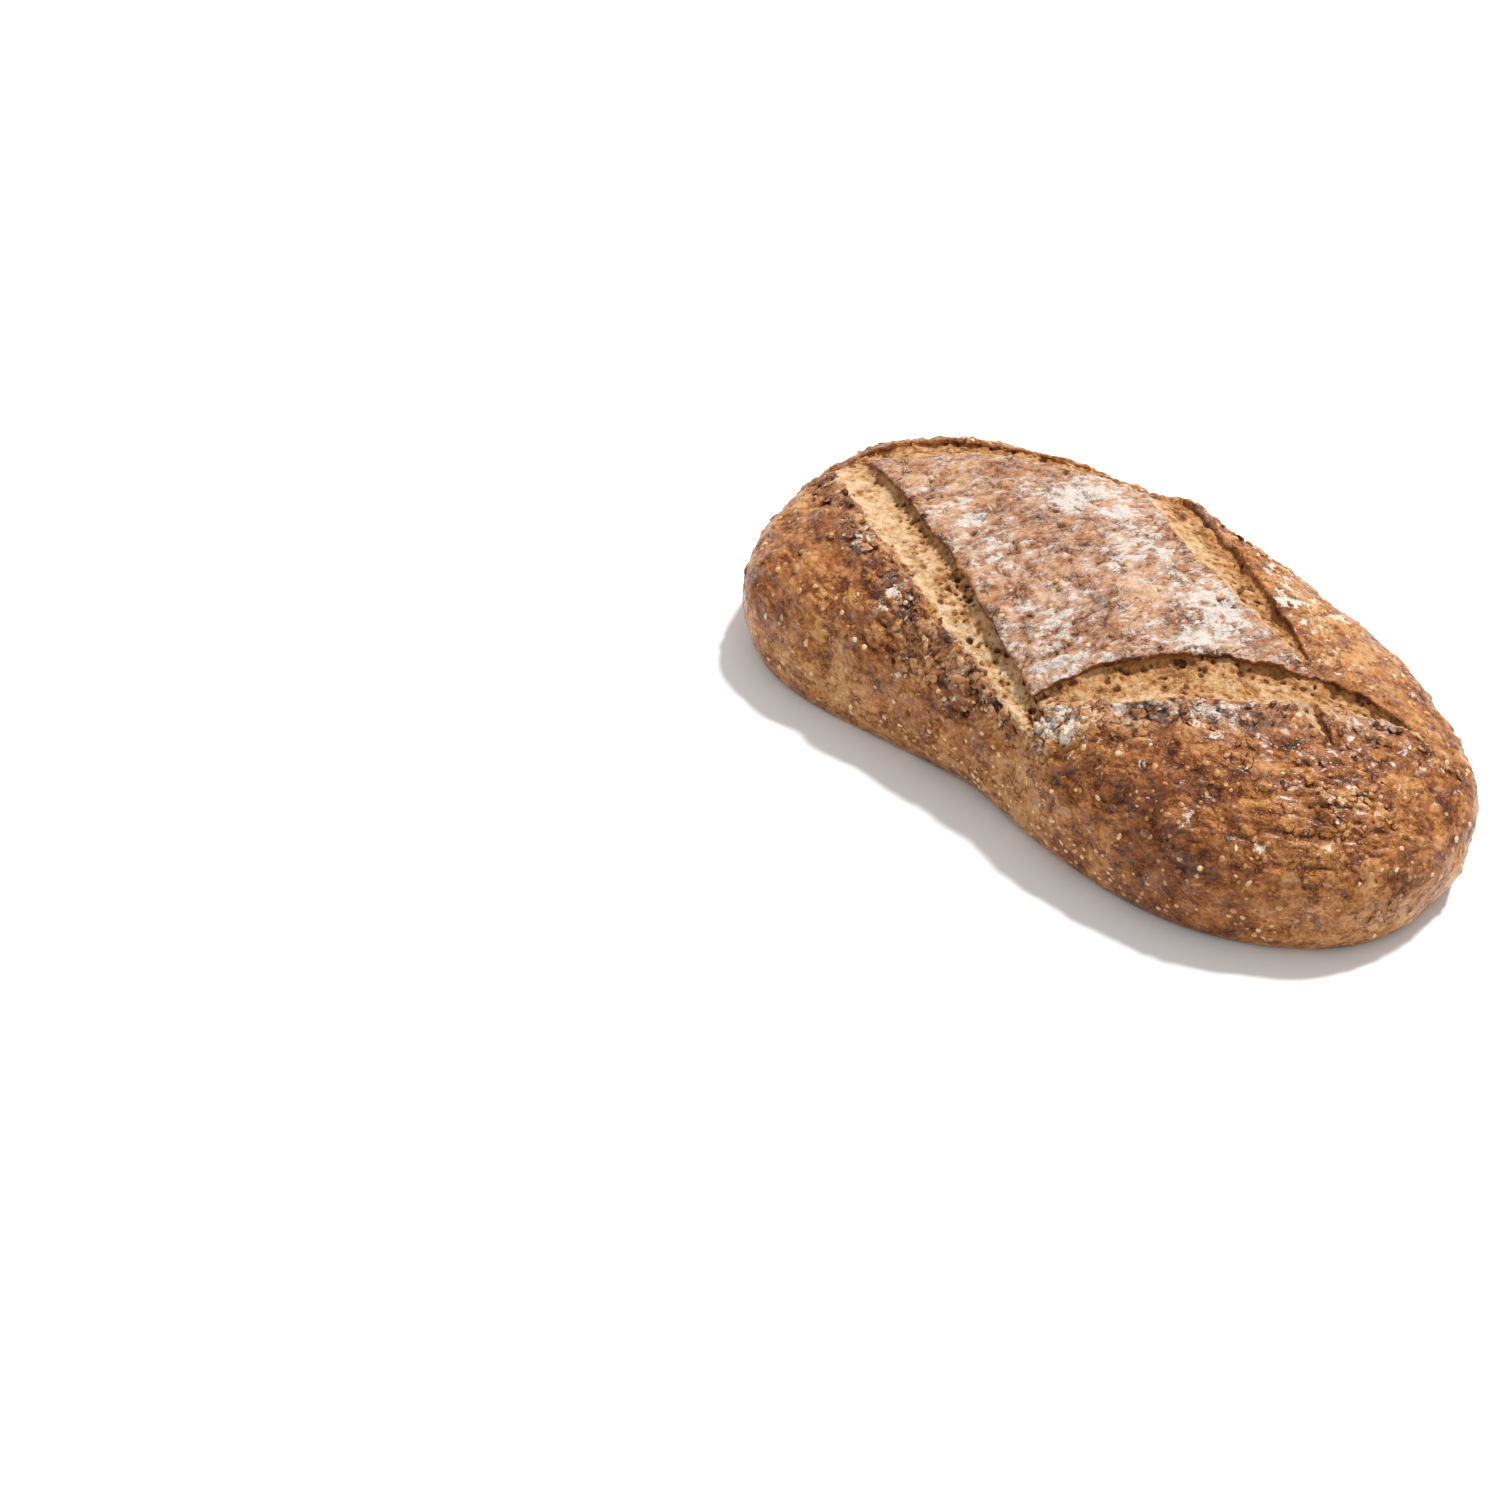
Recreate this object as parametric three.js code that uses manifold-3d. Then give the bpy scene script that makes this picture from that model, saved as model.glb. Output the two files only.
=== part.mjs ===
// A multiseed sourdough loaf: one free-standing hearth loaf, whole and uncut, as one solid.
//
// Millimetres, +Z up. The loaf stands on z = 0 with the middle of its footprint on the origin and its
// length along X. The baker's slashes open a diamond on the top. Each slash is a band of torn crumb
// with a steep wall and a lifted ear of crust along one side, and its floor rises to the crust on the
// other side. A short nick lies beyond the diamond's right corner.
//
// The form is a dome on a polar outline. A place on its skin has an azimuth phi and a level, which is
// 0 at the crown, 1 at the belly, the widest part, and 2 at the edge of the flat base. The slashes are
// drawn on the plan and carried up to the dome, and the seeds lie on the skin at any level.
import * as THREE from "three";
import { mergeVertices } from "three/addons/utils/BufferGeometryUtils.js";
import Module from "manifold-3d";

const wasm = await Module();
wasm.setup();

// ---- driving dimensions of the loaf ----
const LENGTH = 333; // of the plain rounded outline, before the bulges below
const WIDTH = 160;
const HEIGHT = 71.5;
const CORNER_POWER = 2.4; // 2 is an ellipse, more is squarer
const BELLY_HEIGHT = 24.5;
const BASE_INSET = 9.5; // how far the side turns in between the belly and the base
const DOME_POWER = 0.4; // 0.5 is a round dome, less is flatter on top
const CENTRE = new THREE.Vector2(7.5, -3.3); // where the outline's own centre lies

// Bulges (+) and hollows (-) of the outline: where and how wide in degrees of azimuth, how far in mm.
const OUTLINE_BULGES = [
  { name: "front waist", at: -108, out: -8, wide: 26.5 },
  { name: "left front corner", at: -151, out: 18.5, wide: 13 },
  { name: "left back shoulder", at: 154, out: 4, wide: 18 },
  { name: "right end, drawn in", at: 6, out: -15.5, wide: 36 },
  { name: "right front cheek", at: -38, out: 6, wide: 20 },
  { name: "back bulge", at: 112, out: 6, wide: 14 },
];

// Tilt and droop of the top, as shares of the height at the back edge and at the two ends.
const BACK_RISE = 0.022;
const END_DROOP = 0.015;
const RIGHT_DROOP = 0.0115;

// Soft folds down the sides: ends on the plan, depth and half width.
const FOLDS = [
  { name: "left lobe fold", from: [-95, -56], to: [-70, -92], deep: 3, wide: 8 },
  { name: "waist fold", from: [10, -76], to: [13, -100], deep: 3.2, wide: 7 },
  { name: "waist crease", from: [22, -77], to: [23, -100], deep: 1.5, wide: 3.5 },
  { name: "left end fold", from: [-118, -28], to: [-162, -30], deep: 1.5, wide: 6 },
];
const WAVINESS = 0.85; // height of the dough's own soft unevenness
const RELIEF_FROM = 3; // the unevenness and folds grow from nothing at this height ...
const RELIEF_FULL = 16; // ... to full size at this one

// ---- the baker's slashes ----
// ear: the lifted edge on the plan, through its start, middle and end, with the open band to the right
// of that way. ends: the band's width at its start and end, and bulge: how much wider it is in between.
// deep is the height of the wall under the ear and lip the ear's lift, and fade is the share of both
// that is left at the start and the end. tip is the ear's further lift at its start.
const SLASHES = [
  {
    name: "front left",
    ear: [[-139, 5], [-61, -32], [18, -66]],
    ends: [12, 6],
    bulge: 8,
    deep: 6.2,
    fade: [0.5, 0.7],
    lip: 1.5,
    tip: 0,
  },
  {
    name: "front right",
    ear: [[12, -62], [61, -6], [126, 22]],
    ends: [6, 1.5],
    bulge: 17,
    deep: 5,
    fade: [0.7, 0.1],
    lip: 1.4,
    tip: 0,
  },
  {
    name: "back right",
    ear: [[-25, 68], [26, 42], [78, 14]],
    ends: [14, 2],
    bulge: 8,
    deep: 3.8,
    fade: [0.7, 0.15],
    lip: 1.5,
    tip: 1.8,
  },
  {
    name: "back left",
    ear: [[-143, 8], [-101, 44], [-40, 62]],
    ends: [12, 4],
    bulge: 5,
    deep: 4,
    fade: [0.5, 0.15],
    lip: 1.3,
    tip: 1.2,
  },
  {
    name: "nick",
    ear: [[90, 1], [99, -5], [108, -11]],
    ends: [1.5, 1.5],
    bulge: 3.5,
    deep: 2.6,
    fade: [0.2, 0.2],
    lip: 0.7,
    tip: 0,
  },
];
const SLASH_STEP = 6; // between two sections of a slash
const BULGE_SKEW = 0.8; // under 1 puts a band's widest place before its middle
const FADE_SHARE = 0.2; // share of its length over which a slash deepens at each end
const TIP_SHARE = 0.07; // share of its length that an ear's raised tip takes
const EAR_BACK = 8; // how far behind its edge the crust lifts to an ear
const UNDERCUT = 0.25; // how far a wall runs in under its ear, as a share of its height
const EDGE_WANDER = 0.6; // how far an edge strays from its smooth line
const CUT_ABOVE = 8; // how far a slash's cutter stands above the crust
const CUT_FLARE = 2; // and how far it opens beyond the low edge up there
// The floor of a band, from under the wall to the low edge: shares of its width and of its depth.
const FLOOR = [[0.2, 0.95], [0.5, 0.55], [0.8, 0.3], [1, -0.02]];

// ---- seeds that stand out of the crust, the largest kind first ----
const SEED_KINDS = [
  { name: "oat and wheat flake", half: [3.1, 2.3, 1.2], count: 24 },
  { name: "linseed", half: [2.6, 1.5, 1.2], count: 40 },
  { name: "sesame", half: [2.0, 1.4, 1.1], count: 34 },
  { name: "millet", half: [1.5, 1.5, 1.4], count: 46 },
];
const SEED_RANDOM = 20;
const SEED_SPACING = 13.5; // least distance between two seeds
const SEED_SINK = 0.2; // depth of a seed's middle, as a share of its half height
const SEED_LEVEL = 1.25; // seeds lie above this level of the skin
const SEED_CLEAR = 4.5; // least distance to the edge of a slash
const SEED_SIZE_SPREAD = 0.12; // seeds are up to this share larger or smaller
const SEED_FOLD_LIMIT = 1; // no seed where a fold is deeper than this
const SEED_TRIES = 20000;

// ---- how finely the body is divided ----
const RINGS_DOME = 19;
const RINGS_SIDE = 4;
const POINTS_AROUND = 120; // at the belly, and fewer on the smaller rings
const POINTS_LEAST = 6;

const CRUST = new THREE.MeshStandardMaterial({
  name: "crust",
  color: 0x9c6a40,
  roughness: 0.62,
  metalness: 0,
});

// ---- small helpers ----
const { degToRad, lerp, smoothstep } = THREE.MathUtils;
const QUARTER_TURN = Math.PI / 2;
const UP = new THREE.Vector3(0, 0, 1);

/** The difference of two angles, from -pi to pi. */
function turnBetween(a, b) {
  return THREE.MathUtils.euclideanModulo(a - b + Math.PI, 2 * Math.PI) - Math.PI;
}

/** A bell curve: 1 in the middle, and 0.37 one width away. */
function bell(distance, width) {
  return Math.exp(-((distance / width) ** 2));
}

/** A source of even random numbers from 0 to 1, always the same for one seed. */
function randomSource(seed) {
  let state = seed;
  return () => {
    state = (state * 1664525 + 1013904223) % 4294967296;
    return state / 4294967296;
  };
}

/** A triangle mesh from points and faces. */
function meshGeometry(points, faces) {
  const geometry = new THREE.BufferGeometry().setFromPoints(points);
  geometry.setIndex(faces);
  return geometry;
}

/** A closed mesh as a solid that can be cut and joined. */
function solidOf(geometry) {
  const bare = geometry.clone();
  bare.deleteAttribute("normal");
  bare.deleteAttribute("uv");
  const merged = mergeVertices(bare, 1e-4);
  return new wasm.Manifold(
    new wasm.Mesh({
      numProp: 3,
      vertProperties: new Float32Array(merged.attributes.position.array),
      triVerts: new Uint32Array(merged.index.array),
    }),
  );
}

/** A solid as the geometry of a three.js mesh. */
function geometryOf(solid) {
  const mesh = solid.getMesh();
  const geometry = new THREE.BufferGeometry();
  geometry.setAttribute("position", new THREE.BufferAttribute(mesh.vertProperties, 3));
  geometry.setIndex(new THREE.BufferAttribute(mesh.triVerts, 1));
  geometry.computeVertexNormals();
  return geometry;
}

// ---- the plain form ----

/** Radius of the outline at the belly, in the direction phi from its own centre. */
function outlineRadius(phi) {
  const along = (Math.abs(Math.cos(phi)) / (LENGTH / 2)) ** CORNER_POWER;
  const across = (Math.abs(Math.sin(phi)) / (WIDTH / 2)) ** CORNER_POWER;
  const plain = (along + across) ** (-1 / CORNER_POWER);
  return OUTLINE_BULGES.reduce(
    (radius, bulge) => radius + bulge.out * bell(turnBetween(phi, degToRad(bulge.at)), degToRad(bulge.wide)),
    plain,
  );
}

/** Height of the dome at the share r of the way out from the crown to the belly. */
function domeHeight(r) {
  return BELLY_HEIGHT + (HEIGHT - BELLY_HEIGHT) * Math.max(0, 1 - r * r) ** DOME_POWER;
}

/** How much taller or lower than the plain dome the loaf is, u along and v across its own centre. */
function heightShare(u, v) {
  const along = (2 * u) / LENGTH;
  return 1 + (BACK_RISE * 2 * v) / WIDTH - END_DROOP * along ** 2 - RIGHT_DROOP * along;
}

/** The point of the smooth skin at an azimuth and a level. */
function skinPoint(phi, level) {
  const radius = outlineRadius(phi);
  const share = Math.sin(QUARTER_TURN * Math.min(1, level));
  const below = QUARTER_TURN * Math.max(0, level - 1);
  const reach = share * radius - BASE_INSET * (1 - Math.cos(below));
  const height = level <= 1 ? domeHeight(share) : BELLY_HEIGHT * (1 - Math.sin(below));
  const u = reach * Math.cos(phi);
  const v = reach * Math.sin(phi);
  return new THREE.Vector3(u + CENTRE.x, v + CENTRE.y, height * heightShare(u, v));
}

/** The outward normal of the smooth skin at an azimuth and a level. */
function skinNormal(phi, level) {
  const step = 1e-3;
  if (level < step) return UP.clone();
  const around = skinPoint(phi + step, level).sub(skinPoint(phi - step, level));
  const down = skinPoint(phi, level + step).sub(skinPoint(phi, level - step));
  return down.cross(around).normalize();
}

/** The azimuth and the level of the dome over a place on the plan. */
function placeOnDome(x, y) {
  const u = x - CENTRE.x;
  const v = y - CENTRE.y;
  const phi = Math.atan2(v, u);
  const share = Math.min(0.999, Math.hypot(u, v) / outlineRadius(phi));
  return [phi, Math.asin(share) / QUARTER_TURN];
}

/** Soft unevenness of the dough, from about -1 to 1: crossed waves that never line up. */
function waves(x, y, z) {
  return (
    (Math.sin(x / 9.1 + y / 17.3 + 1.7) +
      Math.sin(y / 7.7 - x / 21.9 + z / 9.3) +
      Math.sin(x / 5.3 - y / 11.1 + z / 13.7 + 4.1) +
      Math.sin(y / 5.9 + z / 6.1 + x / 14.3)) /
    3
  );
}

/** How deep the folds are over a place on the plan. */
function foldDepth(x, y) {
  const here = new THREE.Vector3(x, y, 0);
  return FOLDS.reduce((depth, fold) => {
    const line = new THREE.Line3(new THREE.Vector3(...fold.from, 0), new THREE.Vector3(...fold.to, 0));
    const near = line.closestPointToPoint(here, true, new THREE.Vector3());
    return depth + fold.deep * bell(near.distanceTo(here), fold.wide);
  }, 0);
}

/** The line of a slash's ear on the plan, as a curve through its three points. */
function earCurve(slash) {
  const [start, middle, end] = slash.ear.map((point) => new THREE.Vector2(...point));
  const control = middle.clone().multiplyScalar(2).sub(start.clone().add(end).multiplyScalar(0.5));
  return new THREE.QuadraticBezierCurve(start, control, end);
}

/** The straying of a torn edge at a distance along it, in mm. */
function wander(along, phase) {
  return EDGE_WANDER * (0.6 * Math.sin(along / 8.3 + phase) + 0.4 * Math.sin(along / 3.7 + 2.3 * phase));
}

/** How wide the band of a slash is at the share t of its length: widest a little before its middle. */
function bandWidth(slash, t) {
  return lerp(...slash.ends, t) + slash.bulge * Math.sin(Math.PI * t ** BULGE_SKEW);
}

/** How much of its full depth a slash has at the share t of its length. */
function slashStrength(slash, t) {
  const start = lerp(slash.fade[0], 1, Math.sin(QUARTER_TURN * Math.min(1, t / FADE_SHARE)));
  const end = lerp(slash.fade[1], 1, Math.sin(QUARTER_TURN * Math.min(1, (1 - t) / FADE_SHARE)));
  return Math.min(start, end);
}

/** A slash in stations: share of its length, place and way of the ear edge, width of the band. */
function slashStations(slash) {
  const curve = earCurve(slash);
  const length = curve.getLength();
  const steps = Math.max(4, Math.round(length / SLASH_STEP));
  return Array.from({ length: steps + 1 }, (_, i) => {
    const t = i / steps;
    const way = curve.getTangent(t);
    const intoBand = new THREE.Vector2(way.y, -way.x);
    const ear = curve.getPoint(t).addScaledVector(intoBand, wander(t * length, slash.deep));
    const wide = bandWidth(slash, t) + wander(t * length, slash.bulge);
    return { t, ear, intoBand, wide, low: ear.clone().addScaledVector(intoBand, wide) };
  });
}

const SLASH_LINES = SLASHES.map((slash) => ({ slash, stations: slashStations(slash) }));

/** How far the crust is lifted over a place on the plan by the slashes' ears. */
function earLift(x, y) {
  let lift = 0;
  for (const { slash, stations } of SLASH_LINES) {
    for (const { t, ear } of stations) {
      const full = slash.lip * slashStrength(slash, t) + slash.tip * bell(t, TIP_SHARE);
      lift = Math.max(lift, full * bell(Math.hypot(x - ear.x, y - ear.y), EAR_BACK));
    }
  }
  return lift;
}

/** How far the real skin stands out of the smooth one at a point of it. */
function relief(point) {
  const full = smoothstep(point.z, RELIEF_FROM, RELIEF_FULL);
  const dough = WAVINESS * waves(point.x, point.y, point.z) - foldDepth(point.x, point.y);
  return full * (dough + earLift(point.x, point.y));
}

/** The point of the real skin, with its unevenness, folds and ears, at an azimuth and a level. */
function crustPoint(phi, level) {
  const point = skinPoint(phi, level);
  return point.addScaledVector(skinNormal(phi, level), relief(point));
}

/** The azimuth of point k of a ring of points that are evenly spaced along the outline. */
function ringAzimuth(k, count) {
  const tau = (2 * Math.PI * k) / count;
  return Math.atan2(Math.sqrt(WIDTH) * Math.sin(tau), Math.sqrt(LENGTH) * Math.cos(tau));
}

/** Triangles between two closed rings that may have different numbers of points. */
function ringFaces(upper, lower) {
  const faces = [];
  let i = 0;
  let j = 0;
  while (i < upper.length || j < lower.length) {
    const a = upper[i % upper.length];
    const b = lower[j % lower.length];
    if ((i + 1) * lower.length < (j + 1) * upper.length) {
      faces.push(a, b, upper[(i + 1) % upper.length]);
      i += 1;
    } else {
      faces.push(a, b, lower[(j + 1) % lower.length]);
      j += 1;
    }
  }
  return faces;
}

/** The body: rings of points from the crown over the belly to the base, closed by a flat fan. */
function loafBody() {
  const points = [crustPoint(0, 0)];
  const faces = [];
  const addRing = (level, count) =>
    Array.from({ length: count }, (_, k) => points.push(crustPoint(ringAzimuth(k, count), level)) - 1);
  let ring = addRing(1 / RINGS_DOME, POINTS_LEAST);
  ring.forEach((a, k) => faces.push(0, a, ring[(k + 1) % ring.length]));
  for (let i = 2; i <= RINGS_DOME + RINGS_SIDE; i++) {
    const level = i <= RINGS_DOME ? i / RINGS_DOME : 1 + (i - RINGS_DOME) / RINGS_SIDE;
    const share = Math.sin(QUARTER_TURN * Math.min(1, level));
    const lower = addRing(level, Math.max(POINTS_LEAST, Math.round(POINTS_AROUND * share)));
    faces.push(...ringFaces(ring, lower));
    ring = lower;
  }
  const middle = points.push(new THREE.Vector3(0, 0, 0)) - 1;
  ring.forEach((a, k) => faces.push(middle, ring[(k + 1) % ring.length], a));
  return solidOf(meshGeometry(points, faces));
}

// ---- slashes and ears ----

/**
 * What a slash takes away: a bar along it, with a wall under the ear and a floor that rises to the
 * other edge. Its cross-section is given as pairs: how far into the band from the ear's edge, and how
 * far above the smooth skin.
 */
function slashCutter({ slash, stations }) {
  const points = [];
  let corners = [];
  for (const { t, ear, intoBand, wide } of stations) {
    const deep = slash.deep * slashStrength(slash, t);
    corners = [
      [0, CUT_ABOVE],
      [-UNDERCUT * deep, -deep],
      ...FLOOR.map(([across, down]) => [across * wide, -down * deep]),
      [wide + CUT_FLARE, CUT_ABOVE],
    ];
    for (const [across, up] of corners) {
      const plan = ear.clone().addScaledVector(intoBand, across);
      const place = placeOnDome(plan.x, plan.y);
      points.push(skinPoint(...place).addScaledVector(skinNormal(...place), up));
    }
  }
  const count = corners.length;
  const last = points.length - count;
  const faces = [];
  for (let a = 0; a < last; a++) {
    const b = (a + 1) % count ? a + 1 : a + 1 - count;
    faces.push(a, b + count, b, a, a + count, b + count);
  }
  const flat = corners.map((corner) => new THREE.Vector2(...corner));
  for (const [a, b, c] of THREE.ShapeUtils.triangulateShape(flat, [])) {
    faces.push(a, b, c, last + a, last + c, last + b);
  }
  return solidOf(meshGeometry(points, faces));
}

// ---- seeds ----

/** True for a place on the plan that is on the crust and clear of every slash. */
function isClearCrust(x, y) {
  return SLASH_LINES.every(({ stations }) =>
    stations.every(({ ear, low, wide }) => {
      const toEar = Math.hypot(x - ear.x, y - ear.y);
      const toLow = Math.hypot(x - low.x, y - low.y);
      return toEar > SEED_CLEAR && toLow > SEED_CLEAR && Math.max(toEar, toLow) > wide;
    }),
  );
}

/** One seed of a kind, lying flat on the skin at an azimuth and a level, turned by an angle. */
function seedSolid(kind, phi, level, angle, size) {
  const normal = skinNormal(phi, level);
  const lie = new THREE.Quaternion().setFromUnitVectors(UP, normal);
  lie.multiply(new THREE.Quaternion().setFromAxisAngle(UP, angle));
  const middle = crustPoint(phi, level).addScaledVector(normal, -SEED_SINK * kind.half[2]);
  const scale = new THREE.Vector3(...kind.half).multiplyScalar(size);
  const grain = new THREE.IcosahedronGeometry(1, 0);
  return solidOf(grain.applyMatrix4(new THREE.Matrix4().compose(middle, lie, scale)));
}

/** Seeds spread evenly over the top and the sides, clear of each other, the slashes and the folds. */
function seedSolids() {
  const random = randomSource(SEED_RANDOM);
  const kinds = SEED_KINDS.flatMap((kind) => Array(kind.count).fill(kind));
  const placed = [];
  const solids = [];
  for (let tries = 0; solids.length < kinds.length && tries < SEED_TRIES; tries++) {
    const phi = 2 * Math.PI * random();
    const level = SEED_LEVEL * Math.sqrt(random());
    const point = skinPoint(phi, level);
    const crowded = placed.some((other) => other.distanceTo(point) < SEED_SPACING);
    const folded = foldDepth(point.x, point.y) > SEED_FOLD_LIMIT;
    if (crowded || folded || (level < 1 && !isClearCrust(point.x, point.y))) continue;
    placed.push(point);
    const size = 1 + SEED_SIZE_SPREAD * (2 * random() - 1);
    solids.push(seedSolid(kinds[solids.length], phi, level, Math.PI * random(), size));
  }
  return solids;
}

// ---- the loaf ----

function loafSolid() {
  let solid = loafBody();
  for (const line of SLASH_LINES) solid = solid.subtract(slashCutter(line));
  for (const seed of seedSolids()) solid = solid.add(seed);
  return solid;
}

const loafMesh = new THREE.Mesh(geometryOf(loafSolid()), CRUST);
loafMesh.name = "loaf";

const loaf = new THREE.Group();
loaf.add(loafMesh);

export default loaf;
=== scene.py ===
"""A multiseed sourdough loaf: a whole hearth loaf with a caramel crust, slashes of torn crumb round a
floured diamond, a short nick, and seeds baked into the crust.

Shapes are worked out in millimetres and put into the meshes in metres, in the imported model's frame.
The crust is one closed surface over the plain form of the solid. A slash is a second closed strip that
lies in a shallow trough of the crust and carries the ear, the wall and the torn crumb.
"""

import itertools
import math
from types import SimpleNamespace

import bpy
import numpy as np
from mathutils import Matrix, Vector


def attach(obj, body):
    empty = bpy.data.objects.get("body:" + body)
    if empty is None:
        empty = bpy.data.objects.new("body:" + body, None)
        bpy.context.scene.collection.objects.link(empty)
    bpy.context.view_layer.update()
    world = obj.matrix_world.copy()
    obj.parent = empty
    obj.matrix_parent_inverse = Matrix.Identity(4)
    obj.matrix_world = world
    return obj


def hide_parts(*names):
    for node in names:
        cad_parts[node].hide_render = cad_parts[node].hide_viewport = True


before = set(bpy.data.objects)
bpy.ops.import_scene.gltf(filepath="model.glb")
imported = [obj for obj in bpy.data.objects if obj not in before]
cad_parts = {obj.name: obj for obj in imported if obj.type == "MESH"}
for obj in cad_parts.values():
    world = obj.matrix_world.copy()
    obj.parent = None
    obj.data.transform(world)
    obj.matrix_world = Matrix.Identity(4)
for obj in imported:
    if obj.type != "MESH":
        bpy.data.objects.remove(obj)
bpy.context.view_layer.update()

MM = 0.001
QUARTER = math.pi / 2

# ---- the plain form, with the solid's own measures in mm ----
LENGTH = 333.0
WIDTH = 160.0
HEIGHT = 71.5
CORNER_POWER = 2.4
BELLY_HEIGHT = 24.5
BASE_INSET = 9.5
DOME_POWER = 0.4
CENTRE = (7.5, -3.3)
BACK_RISE = 0.022
END_DROOP = 0.015
RIGHT_DROOP = 0.0115
# Bulges (+) and hollows (-) of the outline: azimuth in degrees, how far in mm, how wide in degrees.
OUTLINE_BULGES = [
    (-108, -8, 26.5),
    (-151, 18.5, 13),
    (154, 4, 18),
    (6, -15.5, 36),
    (-38, 6, 20),
    (112, 6, 14),
]
# Soft folds down the sides: two ends on the plan, depth and half width.
FOLDS = [
    ((-95, -56), (-70, -92), 3.0, 8.0),
    ((10, -76), (13, -100), 3.2, 7.0),
    ((22, -77), (23, -100), 1.5, 3.5),
    ((-118, -28), (-162, -30), 1.5, 6.0),
]
WAVINESS = 0.85
RELIEF_FROM = 3.0  # the unevenness sets in at this height ...
RELIEF_FULL = 16.0  # ... and is full from this one on

# ---- the slashes ----
# As the solid has them: the ear's line on the plan, the band's width at both ends and its bulge, depth,
# fading at both ends, and the lift of the lip and of the tip. Then the look of the torn crumb: how dark
# the ear's edge is burnt, how far the crumb rises back up near the ear, how much darker it is toasted and
# how far it spills past the low edge.
SLASHES = [
    # the front left slash
    dict(ear=[(-139, 5), (-61, -32), (18, -66)], ends=(12, 6), bulge=8,
         deep=6.2, fade=(0.5, 0.7), lip=1.5, tip=0.0,
         burnt=0.5, fill=0.62, toast=-0.1, merge=0.45),
    # the front right slash
    dict(ear=[(12, -62), (61, -6), (126, 22)], ends=(6, 1.5), bulge=17,
         deep=5.0, fade=(0.7, 0.1), lip=1.4, tip=0.0,
         burnt=0.8, fill=0.7, toast=0.12, merge=0.6),
    # the back right slash
    dict(ear=[(-25, 68), (26, 42), (78, 14)], ends=(14, 2), bulge=8,
         deep=3.8, fade=(0.7, 0.15), lip=1.5, tip=1.8,
         burnt=0.5, fill=0.7, toast=0.1, merge=1.0),
    # the back left slash
    dict(ear=[(-143, 8), (-101, 44), (-40, 62)], ends=(12, 4), bulge=5,
         deep=4.0, fade=(0.5, 0.15), lip=1.3, tip=1.2,
         burnt=0.3, fill=0.8, toast=0.12, merge=1.0),
    # the nick beyond the diamond's right corner
    dict(ear=[(90, 1), (99, -5), (108, -11)], ends=(1.5, 1.5), bulge=3.5,
         deep=2.6, fade=(0.2, 0.2), lip=0.7, tip=0.0,
         burnt=0.6, fill=0.3, toast=0.1, merge=0.3),
]
BULGE_SKEW = 0.8  # under 1 puts a band's widest place before its middle
LEAST_WIDTH = 0.8  # of a band
FADE_SHARE = 0.2  # share of its length over which a slash deepens at each end
TIP_SHARE = 0.07  # share of its length that an ear's raised tip takes
EAR_BACK = 8.0  # how far behind its edge the crust lifts to an ear
EDGE_WANDER = 0.6  # how far an edge strays from its smooth line
FLOOR_ACROSS = [0.0, 0.2, 0.5, 0.8, 1.0]  # shares of a band's width ...
FLOOR_DEPTH = [1.0, 0.95, 0.55, 0.3, 0.0]  # ... and of its depth there
LINE_STEP = 0.8  # between two stations used to measure distances
PLACES_AT_ONCE = 20000  # measured in one go, which keeps the arrays small
JAG = 0.75  # how far an ear's torn edge strays beyond the solid's own wander ...
LOW_JAG = 2.2  # ... and how far a low edge does
TROUGH_BACK = 3.4  # the crust drops into a trough this far behind an ear ...
TROUGH_PAST = 1.5  # ... and comes up again this far past the low edge
TROUGH_MARGIN = 1.6  # how far the trough lies below the crumb
END_FADE = (1.0, 3.5)  # past a slash's ends its hollow dies out between these distances
STRIP_BACK = 5.2  # the strip of a slash covers the crust from this far behind the ear ...
STRIP_PAST = 2.8  # ... to this far past the low edge
STRIP_PROUD = 0.22  # the crust under the strip is this much lower
# Where two slashes meet, a strip sinks into the other's band: from the first distance behind its ear to
# the second past its low edge, and by the gap deeper where the other comes first in the list.
CROSSING = (0.4, 0.2)
CROSSING_GAP = 0.3

# ---- seeds: the solid's own, then the smaller ones ----
SEED_KINDS = [("flake", (3.1, 2.3, 1.2), 24), ("linseed", (2.6, 1.5, 1.2), 40),
              ("sesame", (2.0, 1.4, 1.1), 34), ("millet", (1.5, 1.5, 1.4), 46)]
SEED_RANDOM = 20  # where the solid's random numbers start
SEED_SPACING = 13.5  # the least distance between two of the solid's seeds
SEED_SINK = 0.2  # share of its half height that a seed's middle lies under the crust
SEED_LEVEL = 1.25  # the lowest level of the solid's seeds
SEED_CLEAR = 4.5  # the least distance from a seed to a slash's edge
SEED_SIZE_SPREAD = 0.12
SEED_FOLD_LIMIT = 1.0  # no seed lies where a fold is deeper than this
SEEDS_AT_ONCE = 40  # whose mounds are worked out in one go
FILM_REACH = 1.25  # reach of the crust's film round a seed, times its mean half size
FILM_RISE = (0.2, 0.42)  # how far the film rises over a flake and over another seed ...
FILM_LARGE = 1.3  # ... and how many times more over the solid's own seeds

rng = np.random.default_rng(7)


# ---- small helpers ----

def bell(distance, width):
    """Bell curve: one in the middle, and 0.37 one width away."""
    return np.exp(-((distance / width) ** 2))


def smooth_step(value, low, high):
    """Rises from 0 at low to 1 at high with level ends: 3t^2 - 2t^3."""
    t = np.clip((value - low) / (high - low), 0.0, 1.0)
    return t * t * (3.0 - 2.0 * t)


def unit(vectors):
    """Vectors divided by their lengths."""
    return vectors / np.maximum(np.linalg.norm(vectors, axis=-1, keepdims=True), 1e-9)


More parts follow.
